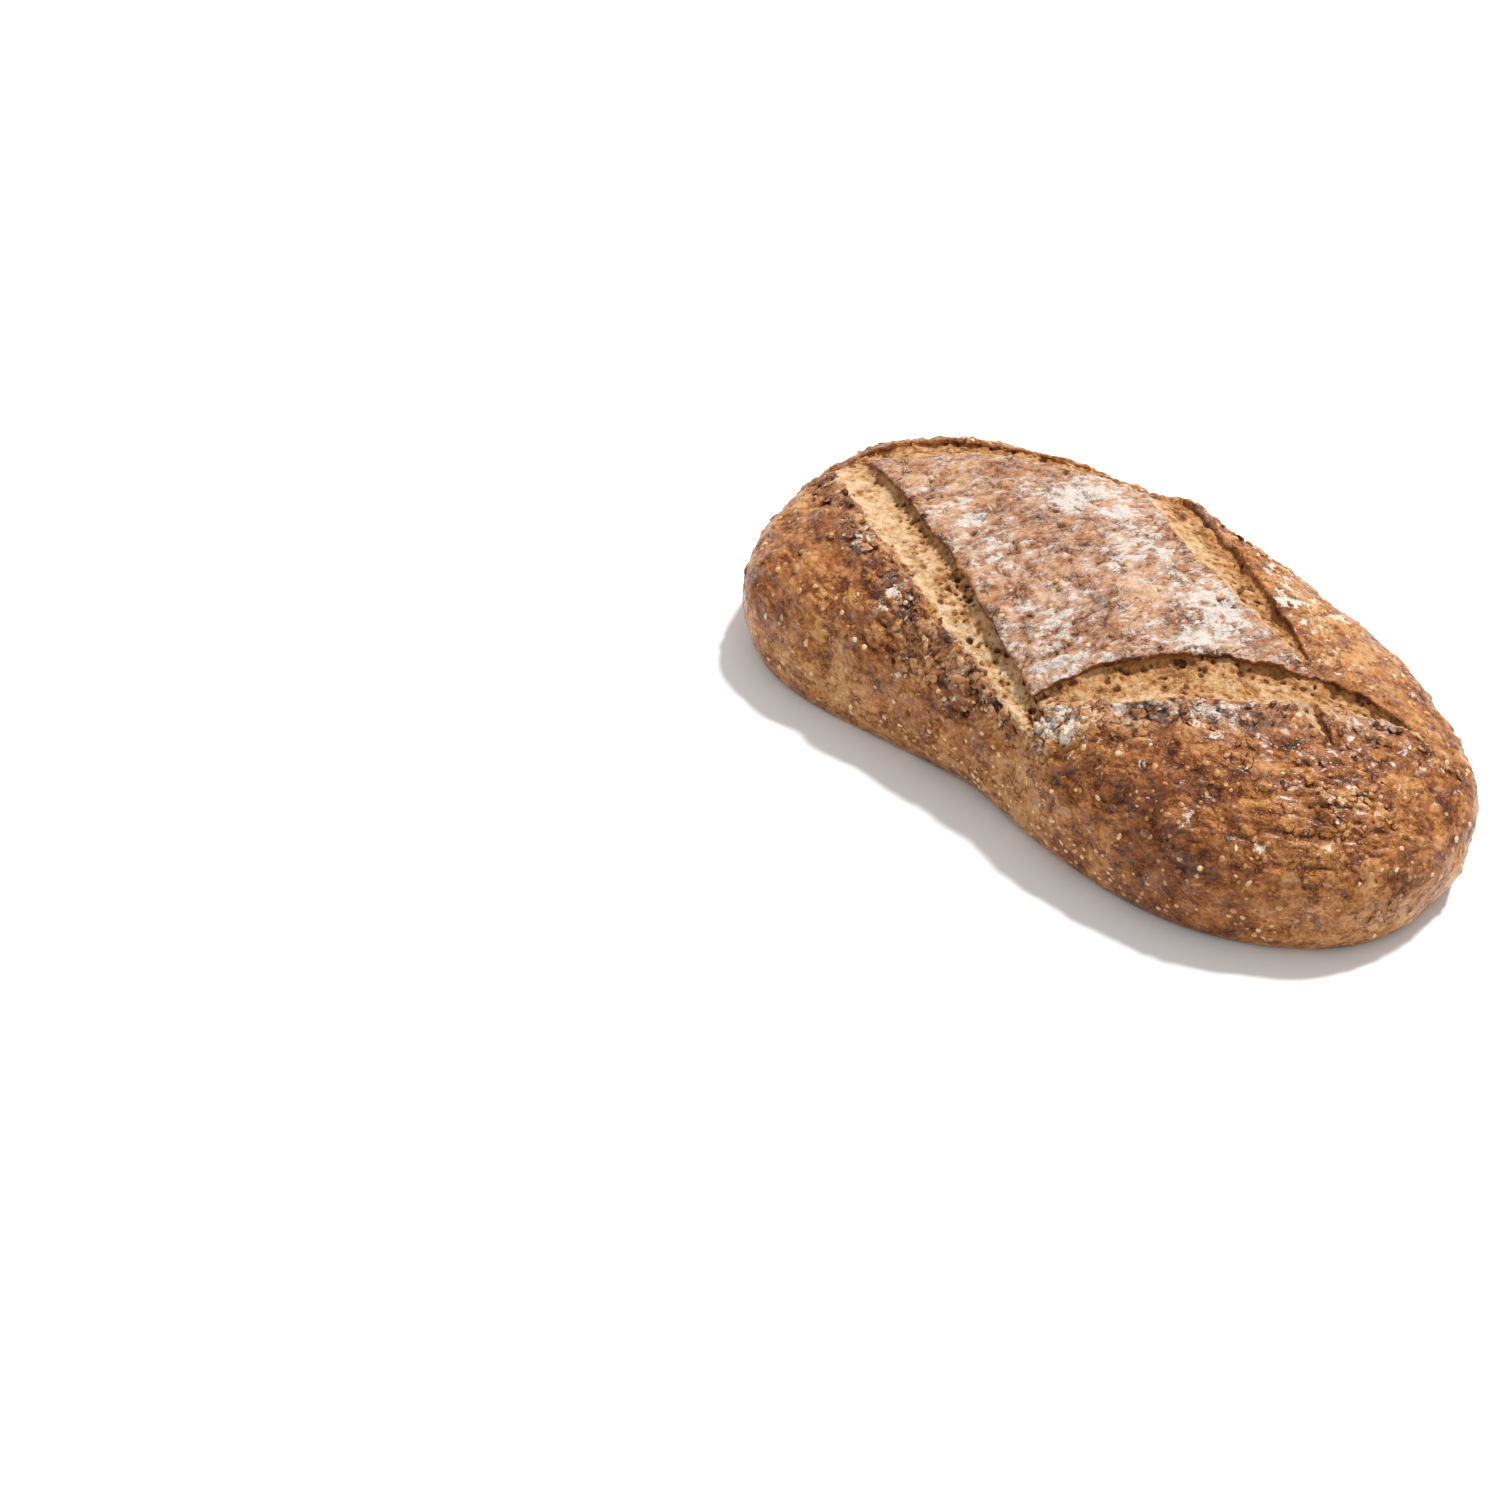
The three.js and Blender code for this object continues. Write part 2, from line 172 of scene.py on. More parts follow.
def lattice_hash(cells, salt):
    """A repeatable random whole number for each lattice cell: its three indices times large odd numbers,
    mixed by shifts."""
    cells = cells.astype(np.int64).astype(np.uint32)
    mixed = cells[..., 0] * np.uint32(0x8DA6B343)
    mixed ^= cells[..., 1] * np.uint32(0xD8163841)
    mixed ^= cells[..., 2] * np.uint32(0xCB1AB31F)
    mixed += np.uint32((salt * 0x9E3779B1) % 2**32)
    mixed ^= mixed >> np.uint32(13)
    mixed *= np.uint32(0x5BD1E995)
    mixed ^= mixed >> np.uint32(15)
    mixed *= np.uint32(0x27D4EB2D)
    mixed ^= mixed >> np.uint32(14)
    return mixed


def hash_shares(numbers):
    """Three even random shares, 0 to 1, from the bits of each whole number."""
    bits = [(numbers >> np.uint32(shift)) & np.uint32(1023) for shift in (0, 10, 20)]
    return np.stack(bits, -1) / 1023.0


def dough_noise(points, size, salt):
    """Smooth noise from about -1 to 1 with features of this size: a random slope at each lattice corner,
    blended between the eight corners by a fifth-power step."""
    place = points / size
    cell = np.floor(place)
    part = place - cell
    step = part ** 3 * (part * (part * 6 - 15) + 10)
    total = np.zeros(len(points))
    for corner in itertools.product((0, 1), repeat=3):
        slope = hash_shares(lattice_hash(cell + corner, salt)) * 2 - 1
        weight = np.prod(np.where(corner, step, 1 - step), axis=-1)
        total += weight * np.sum(slope * (part - corner), axis=-1)
    return total * 1.5


def layered_noise(points, size, salt, layers=3, keep=0.5):
    """Noise plus finer and weaker noise, each layer half the size and `keep` times as strong."""
    total = np.zeros(len(points))
    for layer in range(layers):
        total += keep ** layer * dough_noise(points, size / 2 ** layer, salt + layer)
    return total


def billows(points, size, salt):
    """Puffy unevenness from about -0.4 to 1: rounded bumps with creases between them, 2|noise| - 0.4."""
    return 2.0 * np.abs(dough_noise(points, size, salt)) - 0.4


def nearest_dot(points, size, salt):
    """Distance to the nearest of the dots scattered one to a lattice cell, in mm, and that dot's own
    random share: the least over the 27 cells around each point."""
    place = points / size
    cell = np.floor(place)
    best = np.full(len(points), 9.0)
    share = np.zeros(len(points))
    for corner in itertools.product((-1, 0, 1), repeat=3):
        shares = hash_shares(lattice_hash(cell + corner, salt))
        away = np.linalg.norm(cell + corner + shares - place, axis=-1)
        closer = away < best
        best = np.where(closer, away, best)
        share = np.where(closer, (shares[..., 0] * 7.3 + shares[..., 1] * 3.1) % 1.0, share)
    return best * size, share


# ---- the plain form ----

def outline_radius(phi):
    """Radius of the outline: a rounded rectangle-like ellipse, (|x/a|^p + |y/b|^p)^(-1/p), plus bells."""
    along = (np.abs(np.cos(phi)) / (LENGTH / 2)) ** CORNER_POWER
    across = (np.abs(np.sin(phi)) / (WIDTH / 2)) ** CORNER_POWER
    radius = (along + across) ** (-1 / CORNER_POWER)
    for at, out, wide in OUTLINE_BULGES:
        turn = (phi - math.radians(at) + math.pi) % (2 * math.pi) - math.pi
        radius = radius + out * bell(turn, math.radians(wide))
    return radius


def skin_point(phi, level):
    """The smooth skin at azimuth phi and level: 0 at the crown, 1 at the belly, 2 at the base. The dome's
    height is belly + rise * (1 - r^2)^0.4, and below the belly the side is a quarter of an ellipse."""
    share = np.sin(QUARTER * np.minimum(1.0, level))
    below = QUARTER * np.maximum(0.0, level - 1.0)
    reach = share * outline_radius(phi) - BASE_INSET * (1 - np.cos(below))
    dome = BELLY_HEIGHT + (HEIGHT - BELLY_HEIGHT) * np.maximum(0.0, 1 - share**2) ** DOME_POWER
    height = np.where(level <= 1, dome, BELLY_HEIGHT * (1 - np.sin(below)))
    u = reach * np.cos(phi)
    v = reach * np.sin(phi)
    along = 2 * u / LENGTH
    height = height * (1 + BACK_RISE * 2 * v / WIDTH - END_DROOP * along**2 - RIGHT_DROOP * along)
    return np.stack([u + CENTRE[0], v + CENTRE[1], height], -1)


def skin_normal(phi, level):
    """Outward normal of the smooth skin: the cross product of its two small steps."""
    step = 1e-3
    around = skin_point(phi + step, level) - skin_point(phi - step, level)
    down = skin_point(phi, level + step) - skin_point(phi, level - step)
    normal = unit(np.cross(down, around))
    return np.where((level < step)[..., None], (0.0, 0.0, 1.0), normal)


def place_on_dome(plan):
    """Azimuth and level of the dome over places on the plan."""
    u = plan[..., 0] - CENTRE[0]
    v = plan[..., 1] - CENTRE[1]
    phi = np.arctan2(v, u)
    share = np.minimum(0.999, np.hypot(u, v) / outline_radius(phi))
    return phi, np.arcsin(share) / QUARTER


def waves(p):
    """The dough's soft unevenness: four crossed sine waves that never line up."""
    x, y, z = p[..., 0], p[..., 1], p[..., 2]
    return (np.sin(x / 9.1 + y / 17.3 + 1.7) + np.sin(y / 7.7 - x / 21.9 + z / 9.3)
            + np.sin(x / 5.3 - y / 11.1 + z / 13.7 + 4.1) + np.sin(y / 5.9 + z / 6.1 + x / 14.3)) / 3


def fold_depth(p):
    """Depth of the folds: a bell of the distance to each fold's line on the plan."""
    depth = np.zeros(p.shape[:-1])
    for start, end, deep, wide in FOLDS:
        start = np.array(start, float)
        along = np.array(end, float) - start
        t = np.clip(((p[..., :2] - start) @ along) / (along @ along), 0, 1)
        away = np.linalg.norm(p[..., :2] - start - t[..., None] * along, axis=-1)
        depth += deep * bell(away, wide)
    return depth


# ---- the slashes' lines ----

def wander(along, phase):
    """Straying of a torn edge: two sine waves of the distance along it."""
    return EDGE_WANDER * (0.6 * np.sin(along / 8.3 + phase) + 0.4 * np.sin(along / 3.7 + 2.3 * phase))


def parabola(slash, t):
    """The ear's line at the shares t of its length, a parabola through its three points, and its way."""
    start, middle, end = (np.array(point, float) for point in slash["ear"])
    bend = 2 * middle - (start + end) / 2
    t = t[:, None]
    curve = (1 - t) ** 2 * start + 2 * t * (1 - t) * bend + t**2 * end
    return curve, unit((1 - t) * (bend - start) + t * (end - bend))


def slash_line(slash, t):
    """A slash at the shares t of its length: the ear's edge is a parabola through three points, the band
    is widest a little before its middle, and the strength fades to both ends. Past the ends it runs on
    straight. Gives the edge, the way, the way into the band, the width, the strength and the mm along."""
    inside = np.clip(t, 0, 1)
    edge, way = parabola(slash, inside)
    into = np.stack([way[:, 1], -way[:, 0]], -1)
    length = slash["length"]
    over = (t - inside) * length
    edge = edge + way * over[:, None]
    along = t * length
    edge = edge + into * wander(along, slash["deep"])[:, None]
    first, last = slash["ends"]
    wide = first + (last - first) * inside
    wide = wide + slash["bulge"] * np.sin(math.pi * inside ** BULGE_SKEW)
    wide = np.maximum(wide + wander(along, slash["bulge"]), LEAST_WIDTH)
    rise = np.sin(QUARTER * np.minimum(1, inside / FADE_SHARE))
    fall = np.sin(QUARTER * np.minimum(1, (1 - inside) / FADE_SHARE))
    strength = np.minimum(slash["fade"][0] + (1 - slash["fade"][0]) * rise,
                          slash["fade"][1] + (1 - slash["fade"][1]) * fall)
    return SimpleNamespace(t=inside, over=over, edge=edge, way=way, into=into, wide=wide,
                           strength=strength, along=along)


for slash in SLASHES:
    chords = np.diff(parabola(slash, np.linspace(0, 1, 201))[0], axis=0)
    slash["length"] = float(np.linalg.norm(chords, axis=1).sum())
    slash["line"] = slash_line(slash, np.linspace(0, 1, int(slash["length"] / LINE_STEP) + 2))


def measure_slash(slash, plan):
    """For places on the plan, from the nearest station of a slash: mm into the band from the ear's edge,
    the band's width, its strength, the distance to the edge, the share along, and how far off the ends."""
    line = slash["line"]
    edge = line.edge.astype(np.float32)
    near = np.empty(len(plan), np.int64)
    for first in range(0, len(plan), PLACES_AT_ONCE):
        part = plan[first:first + PLACES_AT_ONCE].astype(np.float32)
        gap = (part[:, None, 0] - edge[None, :, 0]) ** 2 + (part[:, None, 1] - edge[None, :, 1]) ** 2
        near[first:first + PLACES_AT_ONCE] = gap.argmin(axis=1)
    offset = plan - line.edge[near]
    into = np.sum(offset * line.into[near], -1)
    along = np.sum(offset * line.way[near], -1)
    past = np.where(near == 0, -along, np.where(near == len(edge) - 1, along, 0.0))
    return SimpleNamespace(into=into, wide=line.wide[near], strength=line.strength[near],
                           away=np.linalg.norm(offset, axis=-1), t=line.t[near],
                           past=np.maximum(past, 0.0))


def ear_lift(measures):
    """Lift of the crust behind the ears: the most that any slash's lip and raised tip give."""
    lift = np.zeros(len(measures[0].into))
    for slash, m in zip(SLASHES, measures):
        full = slash["lip"] * m.strength + slash["tip"] * bell(m.t, TIP_SHARE)
        lift = np.maximum(lift, full * bell(m.away, EAR_BACK))
    return lift


def cut_depth(slash, m, back, past):
    """Depth of a slash's band as a plain hollow, and how far each place is inside it: the floor's profile
    across the band, with walls `back` mm behind the ear and `past` mm beyond the low edge."""
    share = np.clip(m.into / m.wide, 0, 1)
    floor = slash["deep"] * m.strength * np.interp(share, FLOOR_ACROSS, FLOOR_DEPTH)
    inside = smooth_step(m.into, -back, -back + 1.0)
    inside = inside * (1 - smooth_step(m.into - m.wide, past - 1.0, past))
    return floor, inside * (1 - smooth_step(m.past, *END_FADE))


# ---- what the crust is like from place to place ----
# Flour lies on the diamond and in drifts on the lobes: place on the plan, reach in mm, and how much more
# (+) or less (-) of it.
FLOUR_DRIFTS = [
    (-48, 29, 13, 0.65), (-66, -11, 9, 0.4), (-44, -21, 8, 0.3), (-84, -13, 6, 0.3),
    (-7, -33, 7, 0.45), (4, -41, 7, 0.5), (12, -52, 7, 0.4), (44, -12, 8, 0.35), (76, -38, 11, 0.2),
    (-4, 14, 14, 0.5), (32, 14, 12, 0.75),
    (44, 5, 10, 0.7), (46, 33, 8, 0.55), (-28, 32, 12, 0.35), (38, -14, 11, 0.25),
    (-67, -58, 5, 0.6), (-66, -66, 4, 0.5), (-46, -76, 3.5, 0.6), (-23, -71, 4.5, 0.55),
    (23, -70, 7, 0.7), (33, -67, 6, 0.7), (22, -62, 5, 0.45), (63, -65, 3.5, 0.7),
    (89, -69, 4, 0.75), (116, -60, 3, 0.55), (129, -26, 9, 0.35), (60, -38, 12, 0.25), (46, -50, 9, 0.2),
    (78, -28, 14, 0.25), (104, -18, 11, 0.25), (-82, -73, 3, 0.35), (-95, -44, 8, 0.3),
    (62, 52, 10, 0.5), (-20, 74, 12, 0.3), (100, 40, 12, 0.25), (-120, 52, 8, 0.3),
    (10, 76, 6, 0.5), (-75, 76, 7, 0.4), (120, 48, 6, 0.4), (-112, 44, 10, 0.5), (-90, 56, 10, 0.55),
    (-66, 64, 10, 0.55), (-44, 69, 9, 0.45), (36, 50, 8, 0.5), (50, 42, 8, 0.6), (66, 31, 8, 0.5),
    (84, 24, 9, 0.35), (28, 58, 7, 0.45), (-27, -35, 9, -0.4), (-72, 2, 10, -0.3), (-10, -8, 10, -0.2),
    (18, -30, 9, -0.28), (-83, 24, 8, -0.25), (-104, 0, 8, -0.3), (-42, 0, 10, -0.25), (14, -9, 8, -0.12),
]
# Darker and lighter baked places: place on the plan, reach in mm, how much darker (+) or lighter (-).
BAKED_PATCHES = [
    (-117, -28, 11, 0.12), (-93, -48, 11, 0.18), (-72, -57, 10, 0.22), (-50, -61, 10, 0.24),
    (-30, -63, 9, 0.26), (-12, -65, 9, 0.24), (-143, -9, 6, 0.4), (-140, 9, 5, 0.35),
    (54, -44, 10, 0.12), (66, -35, 10, 0.12), (82, -22, 11, 0.12), (98, -22, 9, 0.22),
    (112, -12, 10, 0.14), (-104, -60, 12, 0.06), (75, -74, 20, 0.32), (102, -74, 16, 0.14),
    (104, -44, 14, -0.08),
    (44, -66, 9, 0.12), (92, -60, 12, 0.1), (120, -70, 12, 0.18), (-99, -76, 12, -0.06),
    (94, 32, 20, -0.2), (146, 6, 14, 0.02), (-20, 66, 5, 0.35),
    (-66, 6, 12, 0.06), (4, -18, 13, 0.08), (-29, -35, 9, 0.16), (16, -38, 10, 0.1),
    (20, -80, 12, -0.12), (-110, 62, 14, 0.1), (40, 66, 16, 0.1), (-60, 78, 12, 0.14),
    (110, 46, 12, 0.08), (-10, 84, 14, 0.08), (-108, 50, 13, -0.3), (-80, 62, 13, -0.3), (-52, 68, 12, -0.25),
    (40, 54, 13, -0.24), (62, 42, 14, -0.24), (86, 30, 14, -0.14),
]
# Calmer places, where the crust is smoother: place on the plan, reach in mm, how much smoother.
CALM_PLACES = [(92, 34, 24, 0.6), (128, 14, 20, 0.5), (-124, -34, 16, 0.35), (-100, -62, 16, 0.3),
               (44, 56, 16, 0.4), (-80, 64, 22, 0.45), (-30, 74, 16, 0.3)]
GLOSSY_PLACE = (124, -22, 18, 1.0)  # the puckered glossy skin: place on the plan, reach in mm, amount
LOW_EDGE_FLOUR = (0.65, 1.0)  # the film of flour past the low edges of the two front slashes
# Holes and slits where the skin broke: place in space, reach along and across in mm, depth, way on the
# skin in degrees from level.
BREAKS = [
    ((-1, -69, 48), 3.4, 3.0, 3.2, 0), ((-39, -77, 26), 3.6, 1.1, 1.6, 80),
    ((-14, -73, 38), 2.8, 1.4, 1.8, 60), ((-20, -75, 34), 1.2, 1.0, 1.2, 0),
    ((-24, -76, 25), 2.0, 0.9, 1.2, 80), ((38, -82, 31), 5.0, 0.6, 1.6, 86),
    ((40, -83, 22), 5.0, 0.6, 1.6, 80), ((94, -24, 64), 3.0, 0.9, 1.6, 70),
    ((-31, 40, 66), 2.6, 0.8, 1.4, 15), ((-8, -8, 72), 2.0, 0.7, 1.2, 20),
    ((-44, 86, 40), 3.4, 1.0, 1.5, 75), ((70, 68, 44), 4.0, 0.8, 1.5, 60),
]
GRAIN_TURN = math.radians(70)  # the way the crust of the diamond tore and stretched, from +X
GRAIN_FAN = 0.0026  # how the grain fans out over the diamond, per mm
GRAIN_STRETCH = 2.1  # how many times longer than broad the torn shreds are


def grain_place(p):
    """Place in the grain's own frame: across it a * (1 + fan * l), and along it l / stretch."""
    along = p[:, 0] * math.cos(GRAIN_TURN) + p[:, 1] * math.sin(GRAIN_TURN)
    across = -p[:, 0] * math.sin(GRAIN_TURN) + p[:, 1] * math.cos(GRAIN_TURN)
    return np.stack([across * (1 + GRAIN_FAN * along), along / GRAIN_STRETCH, p[:, 2] * 0.6], -1)


DRAWN_TURNS = (math.radians(-25), math.radians(38))  # the way the wrinkles run on the two lobes, from +X
DRAWN_BETWEEN = (-15, 45)  # it turns from the one to the other between these places along X
DRAWN_SHARE = 0.42  # a wrinkle's breadth as a share of its length


def drawn_place(p):
    """Place squeezed along the wrinkles: p - (1 - share) * (p . way) * way, where the way turns from the
    left lobe's to the right lobe's over the middle of the loaf."""
    blend = smooth_step(p[:, 0], *DRAWN_BETWEEN)
    turn = DRAWN_TURNS[0] * (1 - blend) + DRAWN_TURNS[1] * blend
    way = np.stack([np.cos(turn), np.sin(turn), np.zeros(len(p))], -1)
    return p - (1 - DRAWN_SHARE) * np.sum(p * way, -1)[:, None] * way


# The zones: heights in mm between which each sets in (or, where they fall, dies out).
DIAMOND_HEIGHTS = (35, 50)
LOW_EDGE_HEIGHTS = (40, 52)
SIDE_HEIGHTS = (50, 24)
BAKED_HEIGHTS = (12, 44)
FLOUR_HEIGHTS = (26, 44)
HOLE_HEIGHTS = (1, 6)
LOW_EDGE_REACH = 12.0  # how far past a low edge the crust is wrinkled
CRAGGY_RANGE = (0.15, 1.3)

# The marks: sizes or spacings in mm. The last number that a noise takes is its own random salt.
LUMP_SIZE = 10.0
STREAK_SIZE = 3.2
SLIT_SIZE = 3.0
SHRED_SIZE = 6.5
WRINKLES = ((1.1, 8.5, 9), (0.8, 5.0, 4), (0.9, 2.9, 5))  # strength, size and salt, from broad to fine
WRINKLE_GRAIN = 1.8
PUCKER_SIZE = 4.6
PLATE_SIZE = 6.0
PLATE_STRAY = 1.5  # how far a torn plate's edge strays
SCALE_SIZE = 3.0  # the smaller plates between
PIT_SPACING = 5.6
BLISTER_SPACING = 3.4
PORE_SPACING = 3.1  # in the torn crumb
FINE_PORE_SPACING = 1.7


def breaks(p):
    """Depth of the holes and slits: a flat-bottomed bell of the distance, longer along the break's way.
    The way turns from level towards straight up, or towards the outside on top of the loaf."""
    depth = np.zeros(len(p))
    for middle, reach, across, deep, turn in BREAKS:
        middle = np.array(middle, float)
        level_way = unit(np.array([-middle[1], middle[0] * 0.3, 0.0]))
        up_way = unit(np.array([0.0, 0.0, 1.0]) if middle[2] < 60 else np.array([middle[0], middle[1], 0.0]))
        way = math.cos(math.radians(turn)) * level_way + math.sin(math.radians(turn)) * up_way
        offset = p - middle
        along = offset @ way
        side = np.linalg.norm(offset - along[:, None] * way, axis=-1)
        near = np.hypot(along / reach, np.maximum(side - 0.2, 0) / across)
        depth = np.maximum(depth, deep * np.exp(-(near**4)))
    return depth


def patches(p, places):
    """Sum of bells round places on the plan, each with its reach and amount."""
    total = np.zeros(len(p))
    for x, y, reach, amount in places:
        total += amount * bell(np.hypot(p[:, 0] - x, p[:, 1] - y), reach)
    return total


def crust_zones(p, measures):
    """Where each kind of crust is, 0 to 1: the diamond, the low edges of the two front slashes with their
    film of flour, the puckered glossy skin, the wrinkled places and the steep sides. Also how calm and how
    craggy the crust is, by bells round places, and by noise and the other zones."""
    front_left, front_right, back_right, back_left, _ = measures
    into_diamond = np.minimum.reduce([-front_left.into, -front_right.into, back_right.into - back_right.wide,
                                      back_left.into - back_left.wide])
    diamond = smooth_step(into_diamond, -1.5, 0.6) * smooth_step(p[:, 2], *DIAMOND_HEIGHTS)
    near_low = np.zeros(len(p))
    dusted = np.zeros(len(p))
    for m, floury in zip((front_left, front_right), LOW_EDGE_FLOUR):
        beyond = m.into - m.wide
        near = smooth_step(beyond, -2, 1) * bell(np.maximum(beyond, 0), LOW_EDGE_REACH)
        near = near * smooth_step(p[:, 2], *LOW_EDGE_HEIGHTS)
        near_low = np.maximum(near_low, near)
        dusted = np.maximum(dusted, floury * near * smooth_step(m.strength, 0.2, 0.9))
    dusted = np.clip(dusted * (0.6 + 0.9 * dough_noise(p, 9, 64)), 0, 0.85)
    glossy = patches(p, [GLOSSY_PLACE])
    wrinkled = np.clip(near_low + 0.8 * glossy, 0, 1)
    side = smooth_step(p[:, 2], *SIDE_HEIGHTS)
    calm = patches(p, CALM_PLACES)
    craggy = 0.75 + 0.5 * dough_noise(p, 18, 8) + 0.5 * wrinkled - 0.5 * side - calm
    craggy = np.clip(craggy, *CRAGGY_RANGE)
    return SimpleNamespace(diamond=diamond, near_low=near_low, dusted=dusted, glossy=glossy,
                           wrinkled=wrinkled, side=side, calm=calm, craggy=craggy)


def crust_marks(p, zones):
    """The marks on the crust: streaks and slits along the diamond's grain, wrinkles along the lobes' own
    way at three sizes, torn plates at two sizes, pits, blisters and breaks."""
    grain = grain_place(p)
    streak = layered_noise(grain, STREAK_SIZE, 11, 3, 0.7)
    slit = smooth_step(0.1 - np.abs(dough_noise(grain, SLIT_SIZE, 31)), 0.0, 0.08)
    slit = slit * smooth_step(dough_noise(p, 8, 33), 0.0, 0.3)
    drawn = drawn_place(p)
    crinkle = sum(strength * billows(drawn, size, salt) for strength, size, salt in WRINKLES)
    crinkle = crinkle + 0.3 * dough_noise(p, WRINKLE_GRAIN, 6)
    strayed = drawn + PLATE_STRAY * np.stack([dough_noise(p, 4.0, salt) for salt in (14, 15, 16)], -1)
    _, plate = nearest_dot(strayed, PLATE_SIZE, 17)
    _, scale = nearest_dot(strayed, SCALE_SIZE, 18)
    plates = (plate - 0.5) + 0.55 * (scale - 0.5)
    pit_away, pit_share = nearest_dot(p, PIT_SPACING, 41)
    pit_reach = 0.5 + 1.2 * (pit_share * 5.7 % 1.0) ** 2
    pit = (pit_share > 0.35) * smooth_step(pit_reach - pit_away, 0.0, 0.7) * (1 - 0.6 * zones.side)
    blister_away, blister_share = nearest_dot(p, BLISTER_SPACING, 51)
    blister_reach = 0.7 + 0.8 * (blister_share * 9.1 % 1.0)
    blister = (blister_share > 0.4) * bell(blister_away, blister_reach) * (1 - 0.6 * zones.diamond)
    return SimpleNamespace(grain=grain, streak=streak, slit=slit, crinkle=crinkle, plates=plates, pit=pit,
                           blister=blister, hole=breaks(p))


def crust_relief(p, zones, marks):
    """Height in mm that the marks add to the plain form, each as strong as its zone has it."""
    diamond, wrinkled, side = zones.diamond, zones.wrinkled, zones.side
    pucker = 1 - np.abs(layered_noise(p * (1, 1, 0.7), PUCKER_SIZE, 21, 2, 0.6)) * 2.2
    fine = 0.42 * dough_noise(p, LUMP_SIZE, 3) + zones.craggy * marks.crinkle * (1 - 0.55 * diamond)
    shreds = billows(marks.grain, SHRED_SIZE, 24)
    fine = fine + diamond * (1.1 * marks.streak - 1.3 * marks.slit + 0.8 * shreds)
    fine = fine + 0.9 * (wrinkled + zones.glossy) * pucker
    flaking = 1.5 * wrinkled + 0.4 * (1 - wrinkled) * (1 - 0.5 * side)
    fine = fine + marks.plates * flaking * np.clip(1 - zones.calm, 0.2, 1)
    return fine + 0.34 * marks.blister * (1 - 0.5 * wrinkled) - 0.9 * marks.pit


def burnt_ears(p, measures):
    """How burnt the ears' edges are, 0 to 1: a bell of the distance behind each, broken up by noise."""
    burnt = np.zeros(len(p))
    for slash, m in zip(SLASHES, measures):
        behind = bell(np.minimum(m.into, 0), 1.2) * (m.into < 0.5) * (m.past < 2)
        burnt = np.maximum(burnt, slash["burnt"] * behind * m.strength)
    return burnt * np.clip(0.55 + 1.3 * dough_noise(p, 7, 63), 0, 1)


def crust_finish(p, measures, zones, marks, fold):
    """How dark the crust is, baked and with painted light and shade on its plates and wrinkles, how much
    flour lies on it, and how much painted shade its pits, slits, holes and creases get, 0 to 1.
    """
    diamond, wrinkled, plates = zones.diamond, zones.wrinkled, marks.plates
    broad = dough_noise(p, 26, 61) * 0.16 + dough_noise(p, 11, 62) * 0.14
    bake = 0.3 + 0.16 * smooth_step(p[:, 2], *BAKED_HEIGHTS) + broad + patches(p, BAKED_PATCHES)
    bake = bake - 0.04 * diamond + 0.06 * wrinkled + 0.5 * burnt_ears(p, measures)
    bake = bake + 0.06 * marks.blister * (1 - diamond)
    # Painted light and shade: the raised plates and the wrinkles' crests are lighter, and the low plates and
    # the wrinkles' hollows are darker.
    bake = bake - (0.1 * wrinkled + 0.06 * (1 - diamond)) * plates * 2 - 0.055
    bake = bake - 0.28 * np.clip(marks.crinkle, -0.8, 1.0) * zones.craggy * (1 - 0.6 * diamond)
    bake = bake - 0.1 * zones.dusted - 0.1 * smooth_step(fold, 0.8, 2.4)
    flour = 0.25 * diamond + patches(p, FLOUR_DRIFTS) * np.clip(0.75 + 1.2 * dough_noise(p, 5, 72), 0.1, 1.5)
    flour = flour + zones.near_low * (0.14 + 0.4 * np.clip(plates, -0.3, 0.7))
    flour = flour + 0.24 * dough_noise(p, 14, 71) * (diamond + 0.5 * zones.near_low)
    flour = flour + 0.34 * diamond * marks.streak - 0.6 * marks.slit * diamond
    flour = flour * smooth_step(p[:, 2], *FLOUR_HEIGHTS) - 0.5 * marks.pit
    # Painted shade: the pits, the slits on the diamond, the holes and the creases between wrinkles are
    # darkened in the material as if shaded.
    hollow_shade = np.clip(marks.pit + 0.9 * marks.slit * diamond + marks.hole / 2.0, 0, 1)
    crease_shade = zones.craggy * smooth_step(marks.crinkle, -0.25, -0.75) * 0.7 * (1 - diamond)
    return bake, flour, np.clip(hollow_shade + crease_shade, 0, 1)


def crust_at(phi, level, seeds=None):
    """The crust at azimuths and levels: the smooth skin's point and normal, the height along that normal
    from the solid's own unevenness, the marks and the seeds' mounds, and its finish. `filmed` is where a
    thin film of flour lies, and `flaky` is where loose flakes may lie."""
    p = skin_point(phi, level)
    measures = [measure_slash(slash, p[:, :2]) for slash in SLASHES]
    zones = crust_zones(p, measures)
    marks = crust_marks(p, zones)
    full = smooth_step(p[:, 2], RELIEF_FROM, RELIEF_FULL)
    fold = fold_depth(p)
    height = WAVINESS * waves(p) - fold + ear_lift(measures)
    height = height + crust_relief(p, zones, marks) * (1 - 0.4 * smooth_step(-fold, -2.0, -4.0))
    height = full * height - marks.hole * smooth_step(p[:, 2], *HOLE_HEIGHTS)
    if seeds is not None:
        height = height + seed_mounds(p, seeds) * full
    bake, flour, hollow_shade = crust_finish(p, measures, zones, marks, fold)
    flaky = zones.wrinkled + 0.1 * (1 - zones.side) * (1 - zones.diamond) - zones.calm
    flaky = np.clip(flaky, 0, 1) * clear_of_bands(measures)
    return SimpleNamespace(p=p, normal=skin_normal(phi, level), height=height, measures=measures,
                           bake=bake, flour=flour, hollow_shade=hollow_shade, glossy=zones.glossy,
                           filmed=np.maximum(zones.diamond, zones.dusted), flaky=flaky)


def clear_of_bands(measures):
    """1 on the crust, and 0 in every slash's band, just behind its ear and just past its low edge."""
    clear = np.ones(len(measures[0].into))
    for m in measures:
        inside = (m.into > -1.5) & (m.into < m.wide + 1.0) & (m.past < 3)
        clear = np.where(inside, 0.0, clear)
    return clear


